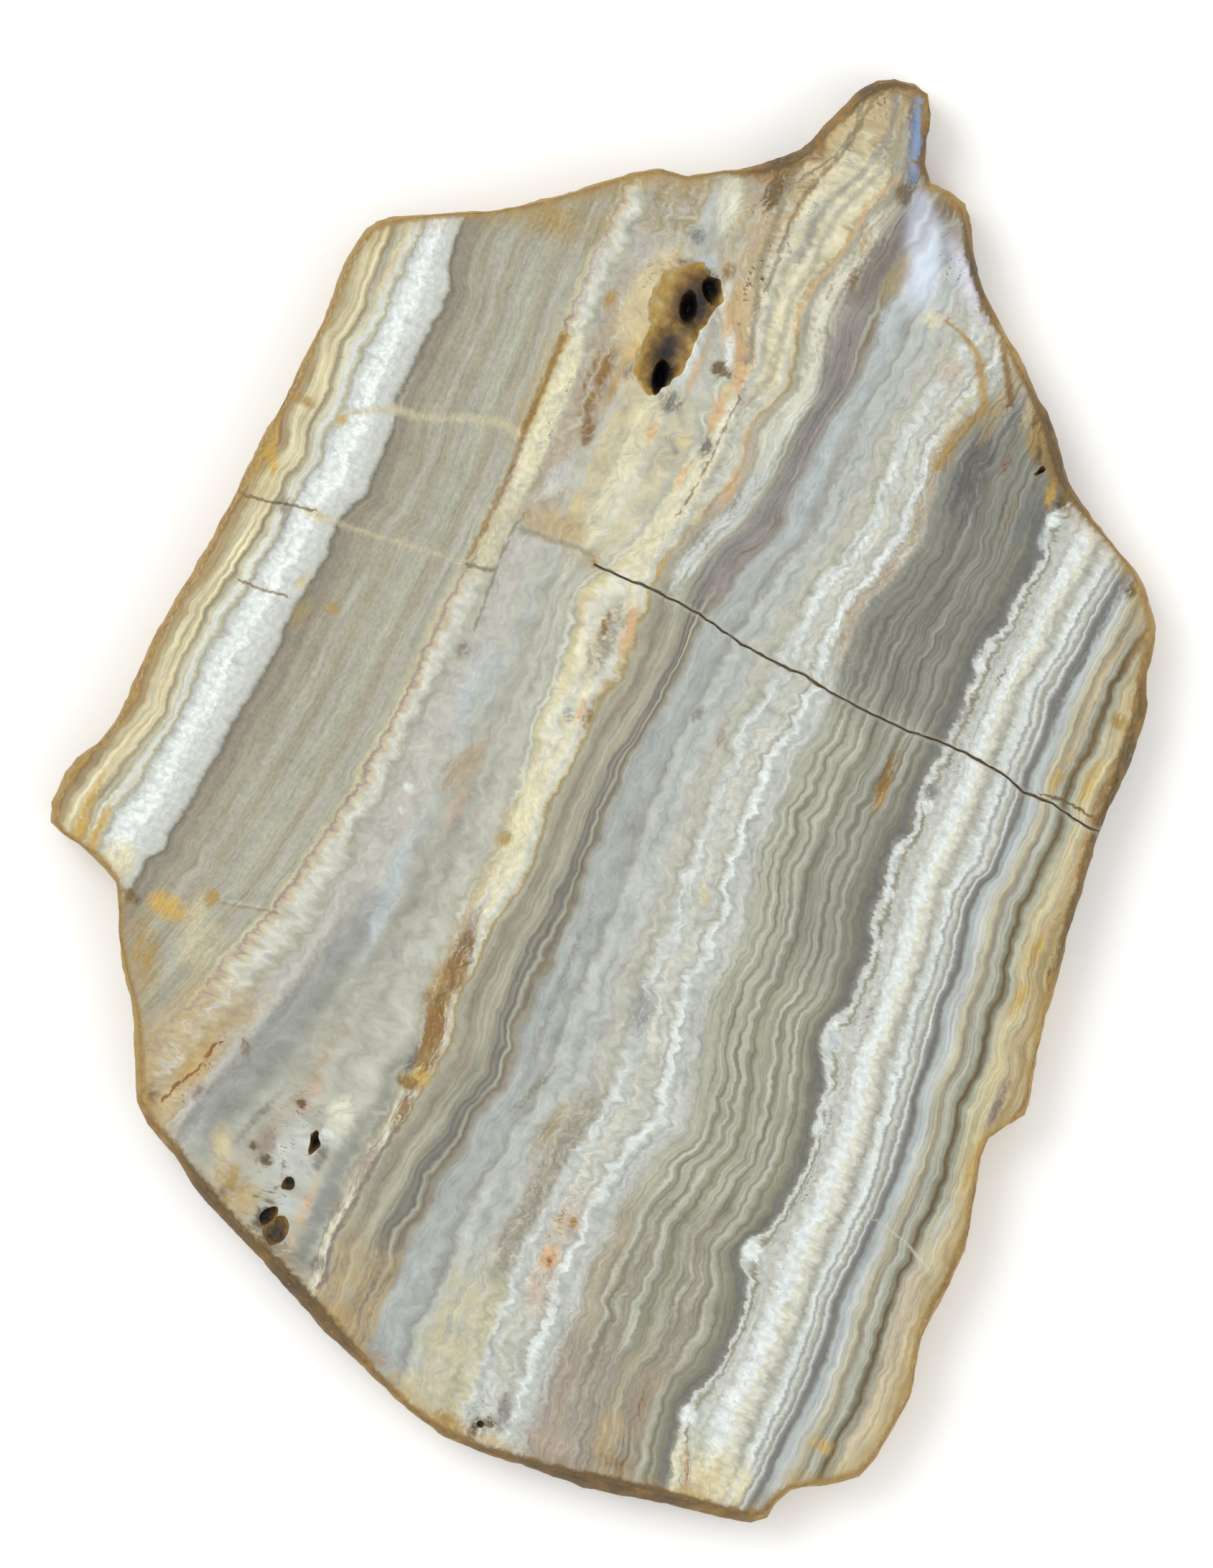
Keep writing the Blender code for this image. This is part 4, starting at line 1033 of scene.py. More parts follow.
# %% Veins along the bands
VEINS = {
    "ochre_vein": ("ochre", 0.7, 0.85, [(-51, -29.2), (-46, -29.1), (-42, -28.9), (-37, -28.7)]),
    "ochre_heart": ("ochre_brown", 0.4, 0.7, [(-50.6, -29.3), (-45, -29.0), (-40, -28.8),
                                              (-36, -28.6), (-32, -28.3), (-26, -28.2),
                                              (-20, -28.4)]),
    "tip_left": ("deep_taupe", 0.25, 0.7, [(-95, -7.5), (-92, -7.7), (-90, -7.2), (-87, -7.5),
                                           (-85, -8.1), (-83, -9.4), (-80, -11)]),
    "tip_grey": ("slate", 0.55, 0.6, [(-96, -4.2), (-93, -3.5), (-90, -2.9), (-88, -3.3),
                                      (-86, -3.6), (-84, -4.3), (-82, -5.2), (-80, -6.2),
                                      (-77, -6.7), (-74, -6.4), (-71, -6.6)]),
    "tip_dark": ("umber", 0.32, 0.6, [(-95, -6.3), (-92, -6.8), (-88, -6.9), (-85, -7.6),
                                       (-82, -8.6), (-79, -9.4), (-75, -9.6), (-70, -9.0),
                                       (-66, -8.8)]),
    "tip_middle": ("taupe", 0.55, 0.55, [(-93, -1.9), (-88, -1.5), (-85, -2.3), (-82, -3.6),
                                        (-79, -4.5), (-75, -4.9), (-71, -4.6), (-67, -5.4),
                                        (-62, -4.4), (-57, -3.6), (-52, -4.7)]),
    "tip_side": ("ash", 0.5, 0.5, [(-79, -7.6), (-74, -6.9), (-70, -7.7), (-66, -7.5),
                                   (-62, -6.8), (-58, -5.3), (-54, -6.0), (-50, -5.1),
                                   (-45, -4.7), (-40, -5.2)]),
    "tip_speckle": ("deep_taupe", 0.5, 0.6, [(-82, -12.0), (-78, -11.6), (-74, -11.2),
                                             (-70, -10.9), (-67, -10.2), (-64, -8.9),
                                             (-61, -8.0), (-57, -6.9)]),
    "orange_thread": ("orange", 0.3, 0.7, [(-87, 0.4), (-85, -0.1), (-83, -1.0), (-81.5, -1.9),
                                            (-79, -1.6), (-76, -2.0), (-73, -2.2), (-70, -3.5),
                                            (-66, -3.9), (-63, -3.0)]),
    "ochre_bend": ("ochre", 0.9, 0.9, [(-72.4, 13.5), (-71.4, 17), (-70, 19), (-68, 20.3),
                                       (-66, 21.6), (-64.6, 22.4), (-63, 21.8), (-60, 20.6),
                                       (-55, 20.2)]),
    "brown_bend": ("walnut", 0.6, 0.95, [(-73.5, 20.6), (-71.5, 21.8), (-69.6, 23.2),
                                         (-67.8, 24.4), (-66, 25.2)]),
    "gap_line": ("walnut", 0.16, 0.7, [(-53, -6.0), (-48, -6.2), (-44, -6.0), (-40, -6.4),
                                      (-36, -6.8)]),
    "block_crack": ("drab", 0.22, 0.7, [(-28.5, -24.3), (-25, -24.9), (-22, -24.7),
                                        (-19.8, -24.6), (-16, -24.2), (-12, -23.9)]),
    "streak_core": ("umber", 0.3, 0.5, [(23.5, -7.6), (25.6, -6.6), (27.4, -8.4), (29.6, -7.3),
                                        (31.4, -8.6), (33.4, -7.0)]),
    "purple_line": ("plum", 0.35, 0.9, [(48, -6.2), (52, -6.8), (56, -7.1), (60, -7.4),
                                        (64, -7.7), (67, -7.0), (69.5, -6.4), (71, -6.9)]),
    "crackle": ("amber", 0.22, 0.9, [(47.5, -30.6), (49, -31.6), (51, -31.7), (53, -32.3),
                                     (55, -33.6), (58, -34.4)]),
}
print(len(VEINS), "veins")


# %% Their offsets as numbers on the points
TAPER = 6.0


def signed_offset(places, away, measure):
    """How far a point stands from a line, away from it; past its ends the line tapers off."""
    places = sorted(places)
    spots, heights = zip(*places)
    offset = away - np.interp(measure, spots, heights)
    past = np.maximum(np.maximum(spots[0] - measure, measure - spots[-1]), 0)
    return offset + np.where(offset < 0, -past, past) * TAPER


offsets = {}
for name, (_, _, _, places) in HAIRLINES.items():
    turned = [(over, down) for down, over in places]
    offsets["line_" + name] = signed_offset(turned, along, across)
for name, (_, _, _, places) in VEINS.items():
    offsets["vein_" + name] = signed_offset(places, across, along)
keep_packed("offsets", offsets)
print(len(offsets), "offsets kept in", len(mesh_data.attributes), "attributes in all")


# %% [markdown]
# A small vocabulary for node trees
#
# The stone's colour is worked out by a few hundred nodes, so some short helpers keep the recipe
# readable. Every helper takes sockets or plain numbers and gives back a socket. Noise is looked
# up in the flat space of the bands, and a seed shifts it to a fresh part of that space.

# %% Node helpers
SEED_STEP = 37.7
NOISE_ROUGHNESS = 0.55
NOISE_SPREAD = 3.4


class Graph:
    """Adds nodes to one tree and wires them up."""

    def __init__(self, tree):
        self.tree = tree
        self.looked_up = {}

    def feed(self, socket, value):
        if isinstance(value, bpy.types.NodeSocket):
            self.tree.links.new(value, socket)
        else:
            socket.default_value = value

    def add(self, kind, inputs, **settings):
        node = self.tree.nodes.new(kind)
        for name, value in settings.items():
            setattr(node, name, value)
        for key, value in inputs.items():
            self.feed(node.inputs[key], value)
        return node

    def math(self, operation, *values):
        return self.add("ShaderNodeMath", dict(enumerate(values)), operation=operation).outputs[0]

    def total(self, *values):
        result = values[0]
        for value in values[1:]:
            result = self.math("ADD", result, value)
        return result

    def times(self, *values):
        result = values[0]
        for value in values[1:]:
            result = self.math("MULTIPLY", result, value)
        return result

    def step(self, value, low, high, out_low=0.0, out_high=1.0, blend="SMOOTHSTEP"):
        """A smooth step: out_low below low, out_high above high."""
        keys = ("Value", "From Min", "From Max", "To Min", "To Max")
        inputs = dict(zip(keys, (value, low, high, out_low, out_high)))
        node = self.add("ShaderNodeMapRange", inputs, interpolation_type=blend)
        return node.outputs["Result"]

    def mix(self, factor, first, second):
        node = self.add("ShaderNodeMix", {}, data_type="RGBA", clamp_factor=True)
        for socket, value in zip((node.inputs[0], node.inputs[6], node.inputs[7]),
                                 (factor, first, second)):
            self.feed(socket, value)
        return node.outputs[2]

    def scaled(self, colour, factor):
        """The colour made lighter or darker by a factor."""
        node = self.add("ShaderNodeVectorMath", {0: colour, "Scale": factor}, operation="SCALE")
        return node.outputs[0]

    def attribute(self, name):
        """A number kept in the mesh, alone or as one part of a vector."""
        stored, channel = PACKED.get(name, (name, None))
        if stored not in self.looked_up:
            found = self.add("ShaderNodeAttribute", {}, attribute_name=stored).outputs
            self.looked_up[stored] = found["Fac"] if channel is None else self.add(
                "ShaderNodeSeparateXYZ", {"Vector": found["Vector"]}).outputs
        result = self.looked_up[stored]
        return result if channel is None else result[channel]

    def spot(self, x, y, width, height, seed=0.0):
        """A point of pattern space, where one unit is width mm across and height mm along."""
        inputs = {"X": self.math("MULTIPLY_ADD", x, 1 / width, seed * SEED_STEP),
                  "Y": self.math("MULTIPLY", y, 1 / height)}
        return self.add("ShaderNodeCombineXYZ", inputs).outputs[0]

    def wobble(self, x, y, width, height, detail=2.0, seed=0.0):
        """Noise from about -1 to 1, with cells width mm across and height mm along."""
        where = self.spot(x, y, width, height, seed)
        inputs = {"Vector": where, "Scale": 1.0, "Detail": detail,
                  "Roughness": NOISE_ROUGHNESS}
        node = self.add("ShaderNodeTexNoise", inputs, noise_dimensions="2D")
        return self.math("MULTIPLY_ADD", node.outputs[0], NOISE_SPREAD, -NOISE_SPREAD / 2)

    def lobes(self, x, y, width, height, seed=0.0):
        """Rounded cells with sharp valleys between them, from about -0.5 to 0.5."""
        where = self.spot(x, y, width, height, seed)
        node = self.add("ShaderNodeTexVoronoi", {"Vector": where, "Scale": 1.0},
                        feature="F1", voronoi_dimensions="2D")
        return self.math("SUBTRACT", node.outputs["Distance"], 0.5)


# %% Helpers for node groups
def new_group(name, inputs, outputs):
    """An empty node group with the given sockets: its Graph, its input and output nodes."""
    tree = bpy.data.node_groups.new(name, "ShaderNodeTree")
    for socket_name, kind in inputs:
        tree.interface.new_socket(socket_name, in_out="INPUT", socket_type=kind)
    for socket_name, kind in outputs:
        tree.interface.new_socket(socket_name, in_out="OUTPUT", socket_type=kind)
    entry = tree.nodes.new("NodeGroupInput")
    leave = tree.nodes.new("NodeGroupOutput")
    return Graph(tree), entry.outputs, leave.inputs


def use_group(graph, name, inputs):
    """Puts a finished group into the graph and gives its outputs."""
    node = graph.add("ShaderNodeGroup", {}, node_tree=bpy.data.node_groups[name])
    for key, value in inputs.items():
        graph.feed(node.inputs[key], value)
    return node.outputs


def tell_nodes(name):
    print(name, "has", len(bpy.data.node_groups[name].nodes), "nodes")


FLOAT, COLOUR = "NodeSocketFloat", "NodeSocketColor"


# %% [markdown]
# What each band is like
#
# Besides its colour a band has a character: how finely it is laminated, how ragged its border
# is, how far its fibres run across it, how much wood grain is left, how cloudy it is and how
# strongly it sways. Two ramps carry these six numbers from left to right.

# %% The character of the bands
CHARACTER = [
    # band, laminae, ragged, fibres, wood, cloud, sway
    (-60, 0.8, 0.1, 0.0, 0.0, 0.3, 0.3), (-56, 0.9, 0.15, 0.1, 0.0, 0.2, 0.4),
    (-53.5, 0.6, 0.3, 0.2, 0.0, 0.2, 0.5), (-51, 0.15, 1.0, 0.6, 0.0, 0.1, 0.5),
    (-49, 0.1, 0.9, 0.7, 0.0, 0.1, 0.5), (-46.5, 0.1, 0.4, 0.5, 0.0, 0.1, 0.5),
    (-44.3, 0.3, 0.3, 0.1, 0.6, 0.2, 0.3), (-42, 0.35, 0.0, 0.0, 1.0, 0.25, 0.1),
    (-32, 0.35, 0.0, 0.0, 1.0, 0.25, 0.1), (-29.8, 0.5, 0.2, 0.0, 0.4, 0.3, 0.3),
    (-27.5, 0.25, 0.8, 0.0, 0.0, 0.5, 0.5), (-25, 0.1, 0.5, 0.0, 0.0, 0.9, 0.8),
    (-18, 0.08, 0.1, 0.0, 0.0, 1.0, 0.9), (-12, 0.15, 0.3, 0.0, 0.0, 0.9, 0.6),
    (-8, 0.1, 0.7, 0.0, 0.0, 1.0, 0.7), (-5, 0.5, 0.2, 0.0, 0.0, 0.4, 0.3),
    (-2, 0.9, 0.05, 0.0, 0.0, 0.3, 0.15), (3, 0.25, 0.05, 0.0, 0.0, 0.9, 0.4),
    (9, 0.3, 0.3, 0.0, 0.0, 0.9, 0.8), (13, 0.3, 0.7, 0.0, 0.0, 0.8, 0.9),
    (19, 0.4, 0.7, 0.1, 0.0, 0.6, 0.8), (22, 0.8, 0.2, 0.0, 0.0, 0.3, 0.7),
    (30, 1.0, 0.1, 0.0, 0.0, 0.2, 0.6), (34.5, 0.6, 0.2, 0.0, 0.0, 0.2, 0.5),
    (37, 0.2, 1.0, 0.2, 0.0, 0.1, 0.6), (40, 0.3, 0.7, 0.3, 0.0, 0.2, 0.4),
    (43.5, 0.15, 0.8, 0.7, 0.0, 0.1, 0.4), (46, 0.4, 0.5, 0.5, 0.0, 0.1, 0.3),
    (49, 0.7, 0.15, 0.1, 0.0, 0.1, 0.3), (53, 0.9, 0.1, 0.0, 0.0, 0.2, 0.4),
    (59, 0.9, 0.15, 0.0, 0.0, 0.4, 0.4),
]
print(len(CHARACTER), "places along the character ramps")


# %% The character group
LEFT_BAND, RIGHT_BAND = -66, 66


def fill_ramp(node, stops):
    """Replaces a ramp's stops by (position, colour) pairs, in order."""
    elements = node.color_ramp.elements
    while len(elements) > 1:
        elements.remove(elements[-1])
    elements[0].position, elements[0].color = stops[0]
    for position, colour in stops[1:]:
        elements.new(position).color = colour


def character_ramp(graph, band_socket, columns):
    """A ramp over all the bands whose red, green and blue are three of the characters."""
    share = graph.step(band_socket, LEFT_BAND, RIGHT_BAND, blend="LINEAR")
    ramp = graph.add("ShaderNodeValToRGB", {"Fac": share})
    width = RIGHT_BAND - LEFT_BAND
    fill_ramp(ramp, [((row[0] - LEFT_BAND) / width, (*[row[k] for k in columns], 1.0))
                     for row in CHARACTER])
    parts = graph.add("ShaderNodeSeparateColor", {"Color": ramp.outputs["Color"]})
    return parts.outputs[0], parts.outputs[1], parts.outputs[2]


def build_character():
    graph, entry, leave = new_group(
        "band_character", [("Band", FLOAT)],
        [(name, FLOAT) for name in ("Laminae", "Ragged", "Fibres", "Wood", "Cloud", "Sway")])
    first = character_ramp(graph, entry["Band"], (1, 2, 3))
    second = character_ramp(graph, entry["Band"], (4, 5, 6))
    for socket, value in zip(leave, first + second):
        graph.feed(socket, value)


build_character()
tell_nodes("band_character")


# %% [markdown]
# Sway and rag
#
# The seams give the broad sway, but not the small scallops that every layer repeats from its
# neighbour. Noise drawn out across the bands adds them: it shifts a whole stack of layers by
# the same amount, as in nature. Rag is the other way about, narrow along the bands, and gives
# the fringes their comb-like border.

# %% The sway group
BROAD_SWAY, MIDDLING_SWAY, SCALLOPS = 0.42, 0.26, 0.9
RAG, TUFTS, SWIRLS = 0.40, 1.0, 0.85


def build_sway():
    graph, entry, leave = new_group(
        "sway",
        [("Band", FLOAT), ("Along", FLOAT), ("Sway", FLOAT), ("Ragged", FLOAT), ("Cloud", FLOAT)],
        [("Band", FLOAT)])
    band_in, along_in = entry["Band"], entry["Along"]
    broad = graph.times(graph.wobble(band_in, along_in, 14, 5, 1), BROAD_SWAY)
    middling = graph.times(graph.wobble(band_in, along_in, 7, 1.5, 2, seed=3), MIDDLING_SWAY)
    scallops = graph.times(graph.lobes(band_in, along_in, 6, 2.3), SCALLOPS)
    swayed = graph.times(graph.total(broad, middling, scallops), entry["Sway"])
    rag = graph.times(graph.wobble(band_in, along_in, 1.6, 0.42, 3, seed=7), RAG,
                      entry["Ragged"])
    tufts = graph.times(graph.lobes(band_in, along_in, 2.4, 1.5, seed=11), TUFTS,
                        entry["Ragged"])
    swirls = graph.times(graph.wobble(band_in, along_in, 4.5, 4.5, 2, seed=13), SWIRLS,
                         entry["Cloud"])
    graph.feed(leave["Band"], graph.total(band_in, swayed, rag, tufts, swirls))


build_sway()
tell_nodes("sway")


# %% [markdown]
# The growth layers
#
# A color ramp holds 32 stops and works in 256 steps, too few and too coarse for the whole slice.
# So the layers are shared out over several ramps, laid end to end. The two sets of layers take
# over from one another in long patches, as layers in the stone do.

# %% The growth layers as ramps
STOPS_PER_RAMP = 30
TAKE_OVER = 0.35


def layer_colour(graph, band_socket, layers):
    """The colour of the layer at each band number, from ramps laid end to end."""
    result = None
    for first in range(0, len(layers) - 1, STOPS_PER_RAMP):
        stops = layers[first:first + STOPS_PER_RAMP + 1]
        left, width = stops[0][0], stops[-1][0] - stops[0][0]
        share = graph.math("MULTIPLY_ADD", band_socket, 1 / width, -left / width)
        ramp = graph.add("ShaderNodeValToRGB", {"Fac": share})
        fill_ramp(ramp, [((number - left) / width, colour) for number, colour in stops])
        colour = ramp.outputs["Color"]
        if result is None:
            result = colour
        else:
            past = graph.math("GREATER_THAN", band_socket, left)
            result = graph.mix(past, result, colour)
    return result


def build_growth():
    graph, entry, leave = new_group("growth_bands", [("Band", FLOAT), ("Along", FLOAT)],
                                    [("Color", COLOUR)])
    band_in, along_in = entry["Band"], entry["Along"]
    first, second = (layer_colour(graph, band_in, layers) for layers in LAYER_SETS)
    turns = graph.wobble(band_in, along_in, 3.5, 13, 2, seed=2)
    share = graph.step(turns, -TAKE_OVER, TAKE_OVER)
    graph.feed(leave["Color"], graph.mix(share, first, second))


build_growth()
tell_nodes("growth_bands")


# %% [markdown]
# Fine structure
#
# Within a band the stone is never one colour. Laminae are thin layers that follow it, pin lines
# are the few sharp ones among them, fibres run straight across it, and what is left of the wood
# shows as a fine grain with faint strands. Clouds are soft blotches and lumps are the small
# rounded cells of chalcedony. All of them only make the colour a little lighter or darker.

# %% The structure group
LAMINA_CONTRAST = 0.30
LEAST_LAMINAE = 0.12
PIN_CONTRAST = 0.20
PIN_WIDTH = 0.34
FIBRE_CONTRAST = 0.12
WOOD_CONTRAST = 0.10
CLOUD_CONTRAST = 0.13
LUMP_CONTRAST = 0.42
GRAIN_CONTRAST = 0.055
BASE_LIGHT = 0.985
LEAST_CLOUD = 0.35
FLECK_STRENGTH = 0.3


def build_structure():
    graph, entry, leave = new_group(
        "fine_structure",
        [("Band", FLOAT), ("Along", FLOAT), ("Laminae", FLOAT), ("Ragged", FLOAT),
         ("Fibres", FLOAT), ("Wood", FLOAT), ("Cloud", FLOAT)],
        [("Light", FLOAT), ("Flecks", FLOAT)])
    band_in, along_in = entry["Band"], entry["Along"]
    layered = graph.math("MAXIMUM", entry["Laminae"], LEAST_LAMINAE)
    hair = graph.wobble(band_in, along_in, 0.30, 7, 1)
    sheet = graph.wobble(band_in, along_in, 0.75, 16, 2, seed=4)
    laminae = graph.times(graph.total(graph.times(hair, 0.5), graph.times(sheet, 0.6)),
                          LAMINA_CONTRAST, layered)
    pin = graph.math("ABSOLUTE", graph.wobble(band_in, along_in, 1.1, 26, 1, seed=5))
    pins = graph.times(graph.step(pin, 0.0, PIN_WIDTH, 1.0, 0.0), -PIN_CONTRAST, layered)
    threads = graph.wobble(band_in, along_in, 1.5, 0.32, 2, seed=6)
    fibres = graph.times(threads, FIBRE_CONTRAST, entry["Fibres"])
    grain = graph.wobble(band_in, along_in, 0.38, 0.75, 2, seed=8)
    wood = graph.times(graph.total(graph.times(grain, 0.7), graph.times(sheet, 0.35),
                                   graph.times(threads, 0.55)), WOOD_CONTRAST, entry["Wood"])
    mottle = graph.wobble(band_in, along_in, 1.6, 2.8, 3, seed=12)
    clouds = graph.times(mottle, CLOUD_CONTRAST, graph.total(LEAST_CLOUD, entry["Cloud"]))
    lumps = graph.times(graph.lobes(band_in, along_in, 0.8, 1.0, seed=15), -LUMP_CONTRAST,
                        entry["Ragged"])
    sugar = graph.times(grain, GRAIN_CONTRAST)
    light = graph.total(BASE_LIGHT, laminae, pins, fibres, wood, clouds, lumps, sugar)
    crumbs = graph.wobble(band_in, along_in, 0.7, 1.2, 2, seed=16)
    fleck = graph.times(graph.step(crumbs, 0.5, 1.3), entry["Cloud"], FLECK_STRENGTH)
    graph.feed(leave["Light"], light)
    graph.feed(leave["Flecks"], fleck)


build_structure()
tell_nodes("fine_structure")


# %% [markdown]
# Stains and hairlines
#
# A stain's attribute is a smooth hill. Noise that is drawn out along the bands multiplies it
# before it is cut off, so each stain breaks into streaks and tongues that follow the wood.

# %% The stain group
STAIN_STREAK = 0.62
STAIN_SPECKLE = 0.42
STAIN_EDGE = (0.03, 0.6)
STAIN_COVER = 0.9


def build_stains():
    graph, entry, leave = new_group(
        "stains", [("Color", COLOUR), ("Band", FLOAT), ("Along", FLOAT)], [("Color", COLOUR)])
    colour = entry["Color"]
    streaks = graph.times(graph.wobble(entry["Band"], entry["Along"], 0.7, 3.0, 2, seed=20),
                          STAIN_STREAK)
    speckle = graph.times(graph.wobble(entry["Band"], entry["Along"], 0.4, 0.6, 2, seed=21),
                          STAIN_SPECKLE)
    wavers = [graph.total(1.0, streaks, speckle),
              graph.total(1.0, graph.times(streaks, -1.0), speckle),
              graph.total(1.0, streaks, graph.times(speckle, -1.0))]
    for order, name in enumerate(STAIN_COLOURS):
        hill = graph.times(graph.attribute("stain_" + name), wavers[order % len(wavers)])
        colour = graph.mix(graph.step(hill, *STAIN_EDGE, 0.0, STAIN_COVER), colour, paint(name))
    graph.feed(leave["Color"], colour)


build_stains()
tell_nodes("stains")


# %% [markdown]
# Specks
#
# Manganese also left dark dots and short threads, too many to place one by one. Noise cut off
# high gives a few islands, and the attribute says where in the stone they may show.

# %% The speck group
SPECK_EDGE = (0.45, 1.15)
SPECK_STRENGTH = 1.3


def build_specks():
    graph, entry, leave = new_group(
        "specks", [("Color", COLOUR), ("Band", FLOAT), ("Along", FLOAT)], [("Color", COLOUR)])
    dots = graph.wobble(entry["Band"], entry["Along"], 0.32, 0.42, 2, seed=30)
    veins = graph.wobble(entry["Band"], entry["Along"], 0.6, 4.0, 2, seed=31)
    mask = graph.times(graph.step(graph.total(dots, graph.times(veins, 0.9)), *SPECK_EDGE),
                       graph.attribute("specks"), SPECK_STRENGTH)
    graph.feed(leave["Color"], graph.mix(mask, entry["Color"], paint("bark")))


build_specks()
tell_nodes("specks")


# %% [markdown]
# Lines
#
# A line is drawn where its signed offset is near zero. A little shared noise keeps it from
# running like a ruled one, and for a vein a second noise breaks its width into beads.

# %% The hairline group
LINE_CORE, LINE_SIDE = 0.1, 1.6
LINE_SHAKE, VEIN_BREAK = 0.2, 0.22


def draw_line(graph, colour, distance, settings):
    """Lays one thin line over the colour, soft at both sides."""
    tint, width, strength, _ = settings
    line = graph.step(distance, width * LINE_CORE, width * LINE_SIDE, strength, 0.0)
    return graph.mix(line, colour, paint(tint))


def build_hairlines():
    graph, entry, leave = new_group(
        "hairlines", [("Color", COLOUR), ("Across", FLOAT), ("Along", FLOAT)],
        [("Color", COLOUR)])
    colour = entry["Color"]
    across_in, along_in = entry["Across"], entry["Along"]
    shake = graph.times(graph.wobble(across_in, along_in, 1.0, 1.0, 2), LINE_SHAKE)
    patchy = graph.times(graph.wobble(across_in, along_in, 0.6, 1.4, 2, seed=33), VEIN_BREAK)
    for name, settings in VEINS.items():
        distance = graph.math("ABSOLUTE", graph.total(graph.attribute("vein_" + name), shake))
        colour = draw_line(graph, colour, graph.total(distance, patchy), settings)
    for name, settings in HAIRLINES.items():
        distance = graph.math("ABSOLUTE", graph.total(graph.attribute("line_" + name), shake))
        colour = draw_line(graph, colour, distance, settings)
    graph.feed(leave["Color"], colour)


build_hairlines()
tell_nodes("hairlines")


# %% [markdown]
# The whole stone's colour
#
# One group puts the steps in order, so that the polish and the sawn face share it: the bands run
# right through the slice.

# %% The stone group
SHADE_GREY = 0.42
SHADE_DEPTH = 0.22


def build_stone():
    graph, _, leave = new_group("stone_colour", [], [("Color", COLOUR), ("Band", FLOAT)])
    band_in, along_in = graph.attribute("band"), graph.attribute("along")
    kind = use_group(graph, "band_character", {"Band": band_in})
    swayed = use_group(graph, "sway", {"Band": band_in, "Along": along_in,
                                       "Sway": kind["Sway"], "Ragged": kind["Ragged"],
                                       "Cloud": kind["Cloud"]})["Band"]
    colour = use_group(graph, "growth_bands", {"Band": swayed, "Along": along_in})["Color"]
    fine = use_group(graph, "fine_structure",
                     {"Band": swayed, "Along": along_in, "Laminae": kind["Laminae"],
                      "Ragged": kind["Ragged"], "Fibres": kind["Fibres"],
                      "Wood": kind["Wood"], "Cloud": kind["Cloud"]})
    colour = graph.mix(fine["Flecks"], colour, paint("chalk"))
    shade = graph.attribute("shade")
    colour = graph.mix(graph.times(shade, SHADE_GREY), colour, paint("slate"))
    light = graph.times(fine["Light"], graph.total(1.0, graph.times(shade, -SHADE_DEPTH)))
    colour = use_group(graph, "stains", {"Color": colour, "Band": swayed,
                                         "Along": along_in})["Color"]
    colour = use_group(graph, "specks", {"Color": colour, "Band": swayed,
                                         "Along": along_in})["Color"]
    colour = use_group(graph, "hairlines", {"Color": colour, "Across": graph.attribute("across"),
                                            "Along": along_in})["Color"]
    graph.feed(leave["Color"], graph.scaled(colour, light))
    graph.feed(leave["Band"], swayed)


build_stone()
tell_nodes("stone_colour")


# %% [markdown]
# Polish, sawn face, rind and hollow
#
# The polish is smooth and a little warmer close to the rim, where iron soaked in. The sawn face
# is the same stone, dulled by dust and scored by the blade in shallow arcs. The rind is brown and
# matt. The hollow goes from straw at its lip through ochre to nearly black at the bottom, the
# darkening being painted shade. The groove of the fracture is taupe, turning umber deeper down.
# One helper makes a material with the refractive index of agate, another turns a height into
# bumps.

# %% What all four materials share
STONE_IOR = 1.54
DARK_SHARE = 1.1


def new_material(name):
    material = bpy.data.materials.new(name)
    material.use_nodes = True
    graph = Graph(material.node_tree)
    shader = material.node_tree.nodes["Principled BSDF"]
    shader.inputs["IOR"].default_value = STONE_IOR
    return material, graph, shader.inputs


def bump(graph, height, distance):
    inputs = {"Height": height, "Distance": distance, "Strength": 1.0}
    return graph.add("ShaderNodeBump", inputs).outputs["Normal"]


# %% [markdown]
# Rind and brown rim
#
# The bark side has weathered to ochre, with umber and nearly black where it lay in damp earth. A
# soft blotch sets the tone and a fine grit breaks it up. The same brown creeps over the edge of
# the polish for about a millimetre, so the rim is mixed in the same way.

# %% The colour of the rind
def build_rind_colour():
    graph, _, leave = new_group("rind_colour", [], [("Color", COLOUR), ("Height", FLOAT)])
    across_in, along_in = graph.attribute("across"), graph.attribute("along")
    depth_in = graph.attribute("depth")
    skew = graph.total(across_in, graph.times(depth_in, 0.4))
    blotch = graph.wobble(skew, along_in, 3.5, 3.5, 4, seed=1)
    grit = graph.wobble(skew, graph.total(along_in, depth_in), 0.7, 0.7, 4, seed=3)
    weather = graph.total(graph.times(graph.attribute("dark_rind"), DARK_SHARE),
                          graph.times(blotch, 0.5))
    colour = graph.mix(graph.step(weather, 0.0, 0.5), paint("ochre"), paint("ochre_brown"))
    colour = graph.mix(graph.step(weather, 0.45, 1.1), colour, paint("umber"))
    colour = graph.mix(graph.step(weather, 1.1, 2.1), colour, paint("bark"))
    colour = graph.mix(graph.step(grit, 0.4, 1.4, 0.0, 0.7), colour, paint("umber"))
    colour = graph.mix(graph.step(grit, -0.5, -1.2), colour, paint("tan"))
    graph.feed(leave["Color"], colour)
    graph.feed(leave["Height"], grit)


DARK_RIND = [
    # along, across, half length, half width of the places where the rind is darkest
    (79, 38, 9, 24), (72, -10, 12, 18), (66, -24, 9, 9), (-30, 58, 20, 4), (-84, -14, 10, 5),
    (-95, -7, 6, 5), (-14, 60, 9, 3), (36, 61, 8, 3), (-62, 32, 12, 9),
    (-80, 14, 6, 8), (-92, 2, 6, 2),
]
keep("dark_rind", np.max([oval((*patch, 0)) for patch in DARK_RIND], axis=0))
build_rind_colour()
tell_nodes("rind_colour")


